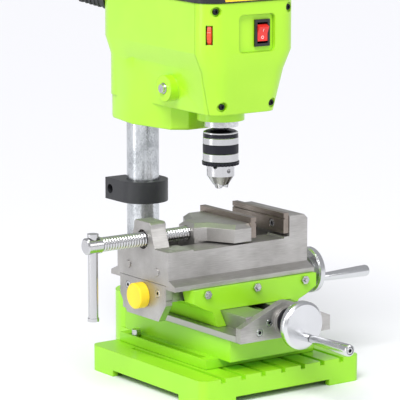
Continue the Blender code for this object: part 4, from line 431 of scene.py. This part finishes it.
# %% Dial, wheel and handle
GRADUATIONS = 50
DIAL_STEPS = 56
DIAL_R = 12.5 * MM
SHADED_GAP_RING_LONG = 4.5 * MM
WHEEL_R = 22.5 * MM
HANDLE_BORE_R = 2.5 * MM
HANDLE_SEAT = 3.4 * MM


def lathe_stack(prefix, body, crank_body, axis):
    axis = Vector(axis)
    low, high, middle = measure(prefix + "_dial")
    base = middle - axis * abs((high - low).dot(axis)) / 2
    long = abs((high - low).dot(axis))
    radius, ring = DIAL_R, SHADED_GAP_RING_LONG
    proud, flush = radius + 0.2 * MM, radius - 0.3 * MM
    # The black ring fills the gap before the drum; its black is painted shade for that gap.
    shaded_gap_ring = [(radius - 0.6 * MM, ring), (proud, ring - 0.5 * MM), (proud, 0.5 * MM),
                 (radius - 0.4 * MM, 0)]
    spin(prefix + "_shaded_gap_ring", shaded_gap_ring, black_oxide, body, base, axis, DIAL_STEPS)
    drum_profile = [(radius - 0.8 * MM, long), (flush, long - 0.5 * MM), (flush, ring)]
    drum = spin(prefix + "_dial_drum", drum_profile, polished_wheel, body, base, axis, DIAL_STEPS,
                (prefix + "_dial",))
    marks = bmesh.new()
    for i in range(GRADUATIONS):
        major = i % 5 == 0
        reach = (5.0 if major else 3.0) * MM
        turn = Matrix.Rotation(2 * math.pi * i / GRADUATIONS, 4, "Z")
        mark = bmesh.ops.create_cube(marks, size=1)["verts"]
        bmesh.ops.scale(marks, vec=(0.16 * MM, 0.26 * MM, reach), verts=mark)
        bmesh.ops.translate(marks, vec=(radius - 0.32 * MM, 0, ring + reach / 2 + 0.2 * MM), verts=mark)
        bmesh.ops.transform(marks, matrix=turn, verts=mark)
    place_piece(prefix + "_graduations", marks, dark_print, body, base, axis)
    low, high, middle = measure(prefix + "_handwheel")
    thick = abs((high - low).dot(axis))
    front, back = thick / 2, -thick / 2
    face = [(0.4 * MM, front), (WHEEL_R - 2.6 * MM, front - 0.5 * MM),
            (WHEEL_R - 0.4 * MM, front - 2.4 * MM), (WHEEL_R, front - 3.0 * MM),
            (WHEEL_R, back + 1.6 * MM), (WHEEL_R - 1.4 * MM, back), (6 * MM, back)]
    wheel = spin(prefix + "_wheel_turned", face, polished_wheel, body, middle, axis, 96,
                 (prefix + "_handwheel",))
    low, high, middle = measure(prefix + "_crank_handle")
    long = abs((high - low).dot(axis))
    root, tip = -long / 2, long / 2
    seat = tip - HANDLE_SEAT
    taper = [(3.9 * MM, tip), (5.2 * MM, tip - 0.5 * MM), (5.6 * MM, tip - 2 * MM), (5.5 * MM, tip - 10 * MM),
             (4.9 * MM, 0), (4.1 * MM, root + 6 * MM), (3.7 * MM, root + 0.8 * MM), (3.3 * MM, root),
             (HANDLE_BORE_R, root), (HANDLE_BORE_R, seat), (3.8 * MM, seat)]
    handle = spin(prefix + "_handle_turned", taper, polished_wheel, crank_body, middle, axis, 40,
                  (prefix + "_crank_handle",), ring=True, edge_angle=50)


lathe_stack("y", "y_wheel", "y_crank", (0, -1, 0))
lathe_stack("x", "x_wheel", "x_crank", (1, 0, 0))

# %% [markdown]
# The vise screw carries a coarse thread that shows on both sides of its lug. A thread is a ridge that
# climbs one pitch each turn, so the radius is a wave of height and angle together. The eye at its end is
# drilled for the bar.

# %% Vise screw with its thread
THREAD_PITCH = 3.0 * MM
THREAD_ROOT = 6.0 * MM
THREAD_CREST = 6.85 * MM
low, high, middle = measure("vise_screw")
eye_long = 17.0 * MM
eye_at = Vector((low.x + eye_long / 2, middle.y, middle.z))
thread_long = high.x - low.x - eye_long
steps, rows_per_pitch = 32, 8
rows = int(thread_long / THREAD_PITCH * rows_per_pitch)


def ridge(angle, radius, height):
    phase = (height / THREAD_PITCH - angle / (2 * math.pi)) % 1
    wave = 0.5 + 0.5 * math.cos(2 * math.pi * phase)
    return (THREAD_CREST - THREAD_ROOT) * min(1, 1.3 * wave)


threaded = [(THREAD_ROOT, thread_long * (1 - k / rows)) for k in range(rows + 1)]
thread_at = (low.x + eye_long, middle.y, middle.z)
thread = spin("vise_screw_thread", threaded, turned_steel, "vise_screw", thread_at, (1, 0, 0), steps,
              ("vise_screw",), wobble=ridge, edge_angle=60)
half_eye, eye_rim = eye_long / 2, eye_long / 2 - 1.2 * MM
eye_profile = [(6.2 * MM, half_eye), (7.8 * MM, eye_rim), (7.8 * MM, -eye_rim), (6.2 * MM, -half_eye)]
eye = spin("vise_screw_eye", eye_profile, turned_steel, "vise_screw", eye_at, (1, 0, 0), 40)
drill_profile = in_mm([(5.5, 20), (5.5, -20)])
drill = spin("vise_eye_drill", drill_profile, turned_steel, "vise_screw", eye_at, (0, 0, 1), 24)
drill.hide_render = True
drill.hide_viewport = True
hole = eye.modifiers.new("bar_hole", "BOOLEAN")
hole.object = drill
hole.solver = "EXACT"
print("thread turns", round(thread_long / THREAD_PITCH, 1))

# %% [markdown]
# A keyed chuck is banded: ground steel, a knurled black band, ground steel again, and a black ring of bevel
# teeth that the key turns. Below it the steel body narrows to the three jaws. The body's upper cone is
# black oxide.

# %% Chuck
low, high, middle = measure("chuck_sleeve")
KEY_TEETH = 30
bands = [
    ("chuck_band_top", turned_steel, 223.4, 230.0, 0.0),
    ("chuck_band_knurl", black_oxide, 215.0, 223.4, 0.12),
    ("chuck_band_low", turned_steel, 207.3, 215.0, 0.0),
]


def knurl(angle, radius, height):
    return 0.12 * MM * math.cos(60 * angle) if radius > 16.5 * MM else 0


for k, (name, finish, bottom, top, rough) in enumerate(bands):
    bottom, top = bottom * MM, top * MM
    outer, inner, rim = (16.9 if rough else 17.0) * MM, 14.3 * MM, 0.4 * MM
    profile = [(outer - rim, top), (outer, top - rim), (outer, bottom + rim), (outer - rim, bottom),
               (inner, bottom), (inner, top)]
    spin(name, profile, finish, "chuck_sleeve", (middle.x, middle.y, 0), (0, 0, 1), 240 if rough else 64,
         ("chuck_sleeve",) if k == 0 else (), ring=True, wobble=knurl if rough else None)


def key_tooth(angle, radius, height):
    return 0.9 * MM * math.cos(KEY_TEETH * angle) if height < 205.5 * MM and radius > 15 * MM else 0


teeth = in_mm([(17.4, 207.3), (17.8, 206.9), (17.8, 205.8), (16.6, 203.5), (14.3, 203.5), (14.3, 207.3)])
spin("chuck_key_teeth", teeth, black_oxide, "chuck_sleeve", (middle.x, middle.y, 0), (0, 0, 1), 240,
     ring=True, wobble=key_tooth)
dress("chuck_body", turned_steel)
cone = in_mm([(7.1, 240.0), (7.15, 237.6), (9.5, 237.5), (14.6, 236.0), (16.7, 233.6), (16.8, 230.4),
              (14.2, 230.4), (7.0, 236.0)])
spin("chuck_top_cone", cone, black_oxide, "spindle", (middle.x, middle.y, 0), (0, 0, 1), 64, ring=True)

# %% [markdown]
# Four screws hold the head's front cover, each deep in a round recess where only a dark hole and a glint
# show. The solid cover has the recesses open at the back, so each gets a floor of the same enamel and a
# small cap screw.

# %% Cover screws
RECESSES = [(-41.5, -181.6, 354.5), (41.5, -181.6, 354.5), (-28.5, -173.6, 265.0), (28.5, -173.6, 265.0)]
RECESS_DEEP = 3.2
RECESS_FLOOR = in_mm([(4.55, 0), (4.55, -1.6)])
SMALL_HEAD = in_mm([(1.4, 0.7), (1.5, 1.9), (2.6, 1.9), (2.9, 1.6), (2.9, 0)])
for k, (x, y, z) in enumerate(RECESSES):
    at = Vector((x, y + RECESS_DEEP, z)) * MM
    spin(f"cover_recess_{k + 1}", RECESS_FLOOR, lime_enamel_head_painted_light, "head", at, (0, -1, 0), 24)
    spin(f"cover_screw_{k + 1}", SMALL_HEAD, black_oxide, "head", at, (0, -1, 0), 24)

# %% [markdown]
# The speed control is a thumb wheel of orange plastic whose rim shows through a slot in the corner of the
# cover. Its rim is scalloped for grip. It sits in a shallow housing that closes the slot behind it.

# %% Speed wheel
low, high, middle = measure("speed_wheel")
scallop = 26


def grip_rim(angle, radius, height):
    return -0.35 * MM * (0.5 + 0.5 * math.cos(scallop * angle)) if radius > 9 * MM else 0


rim = in_mm([(2.0, 6.7), (2.0, 2.25), (10.6, 2.25), (12.4, 1.65), (12.4, -1.65), (10.6, -2.25),
             (2.0, -2.25), (2.0, -6.7)])
wheel = spin("speed_wheel_scalloped", rim, orange_plastic, "speed_wheel", middle, (1, -1, 0), 208,
             ("speed_wheel",), wobble=grip_rim)

# %% [markdown]
# The rocker carries the plain marks for on and off. They are raised by a tenth of a millimetre, as moulded
# marks are, and lie on the rocker's two slopes, so they tip with it.

# %% Switch marks
ROCKER_LEAN = math.radians(12)
pivot = Vector((10.5, -178.7, 332.5)) * MM
crest, half_z = 7.0 * MM, 8.6 * MM


def on_rocker(out, up):
    y = pivot.y - out * math.cos(ROCKER_LEAN) - up * math.sin(ROCKER_LEAN)
    return Vector((pivot.x, y, pivot.z + up * math.cos(ROCKER_LEAN) - out * math.sin(ROCKER_LEAN)))


for name, sign in (("switch_mark_on", 1), ("switch_mark_off", -1)):
    near, far = on_rocker(crest * 0.5, 0), on_rocker(crest * 0.72, sign * half_z * 0.8)
    slope = (far - near).normalized()
    normal = slope.cross(Vector((sign, 0, 0))).normalized()
    if normal.y > 0:
        normal = -normal
    centre = (near + far) / 2
    if sign > 0:
        made = bmesh.new()
        bmesh.ops.create_cube(made, size=1)
        bmesh.ops.scale(made, vec=(0.45 * MM, 2.8 * MM, 0.2 * MM), verts=made.verts)
        place_piece(name, made, white_print, "rocker", centre, normal)
    else:
        circle = in_mm([(1.5, 0.1), (1.5, -0.1), (1.05, -0.1), (1.05, 0.1)])
        spin(name, circle, white_print, "rocker", centre, normal, 32, ring=True)

# %% [markdown]
# The belt cover is black, with a plain yellow band over the front. The band is a thin strip that follows the
# cover's front face, just proud of it.

# %% Yellow band
cover_low = measure("top_cover")[0]
made = bmesh.new()
bmesh.ops.create_cube(made, size=1)
bmesh.ops.scale(made, vec=(68 * MM, 0.6 * MM, 17 * MM), verts=made.verts)
bmesh.ops.bevel(made, geom=made.edges, offset=0.25 * MM, segments=2, affect="EDGES")
band_at = (0, cover_low.y - 0.1 * MM, cover_low.z + 9.5 * MM)
place_piece("cover_band", made, yellow_plastic, "head", band_at, (0, 0, 1))

# %% [markdown]
# The cord leaves through a ribbed rubber gland, which is a cone with grooves that let it bend.

# %% Cord gland
GLAND_WAY = Vector((-0.020, math.sqrt(0.0368 ** 2 - 0.020 ** 2), 0)).normalized()
root = GLAND_WAY * 36.8 * MM + Vector((0, 0, 350 * MM))
GLAND_RIBS = 5
ribs = [(3.5, 29.9), (4.8, 29.9)]
for k in range(GLAND_RIBS):
    z = 27.5 - 4.6 * k
    r = 5.3 + k * 1.05
    ribs += [(r, z), (r, z - 2.0), (r - 0.9, z - 2.3), (r - 0.9 + 0.3, z - 4.0)]
ribs += [(10.6, 3.2), (11.0, 2.6), (11.0, 0.3), (3.5, 0.3)]
gland = spin("cord_gland_ribbed", in_mm(ribs), black_rubber, "head", root, GLAND_WAY, 36,
             ("cord_gland",), ring=True)

# %% [markdown]
# The photograph is high key: a white sweep, broad soft light from above and the left, and a pale shadow. A
# far, wide lamp lights the floor evenly to its horizon, a dim world fills the shadows, and two strips shape
# the metal.

# %% Floor and light
floor_finish, tree, shader = new_finish("studio_floor", Base_Color=linear("#F4F4F7"), Roughness=0.55)
made = bmesh.new()
bmesh.ops.create_grid(made, x_segments=1, y_segments=1, size=12)
mesh = bpy.data.meshes.new("floor")
made.to_mesh(mesh)
made.free()
mesh.materials.append(floor_finish)
floor = bpy.data.objects.new("floor", mesh)
bpy.context.scene.collection.objects.link(floor)

world = bpy.data.worlds.new("studio")
world.use_nodes = True
bpy.context.scene.world = world
sky = world.node_tree.nodes["Background"]
sky.inputs["Color"].default_value = linear("#F7F8FC")
sky.inputs["Strength"].default_value = 0.5


def soft_lamp(name, at, aim, size, power):
    lamp = bpy.data.objects.new(name, bpy.data.lights.new(name, "AREA"))
    bpy.context.scene.collection.objects.link(lamp)
    lamp.data.shape = "RECTANGLE"
    lamp.data.size, lamp.data.size_y = size
    lamp.data.energy = power
    lamp.location = at
    lamp.rotation_mode = "QUATERNION"
    lamp.rotation_quaternion = (Vector(at) - Vector(aim)).to_track_quat("Z", "Y")
    return lamp


KEY_FROM = Vector((-0.50, -0.42, 0.80))
key_lamp = bpy.data.objects.new("key_lamp", bpy.data.lights.new("key_lamp", "SUN"))
bpy.context.scene.collection.objects.link(key_lamp)
key_lamp.data.energy = 2.75
key_lamp.data.angle = math.radians(34)
key_lamp.rotation_mode = "QUATERNION"
key_lamp.rotation_quaternion = KEY_FROM.to_track_quat("Z", "Y")
soft_lamp("side_lamp", (-1.1, 0.1, 0.5), (0, -0.1, 0.2), (0.3, 1.0), 2.5)
soft_lamp("front_lamp", (0.5, -1.4, 0.7), (0, -0.1, 0.15), (0.8, 0.4), 3.0)
bpy.context.scene.view_settings.view_transform = "Standard"
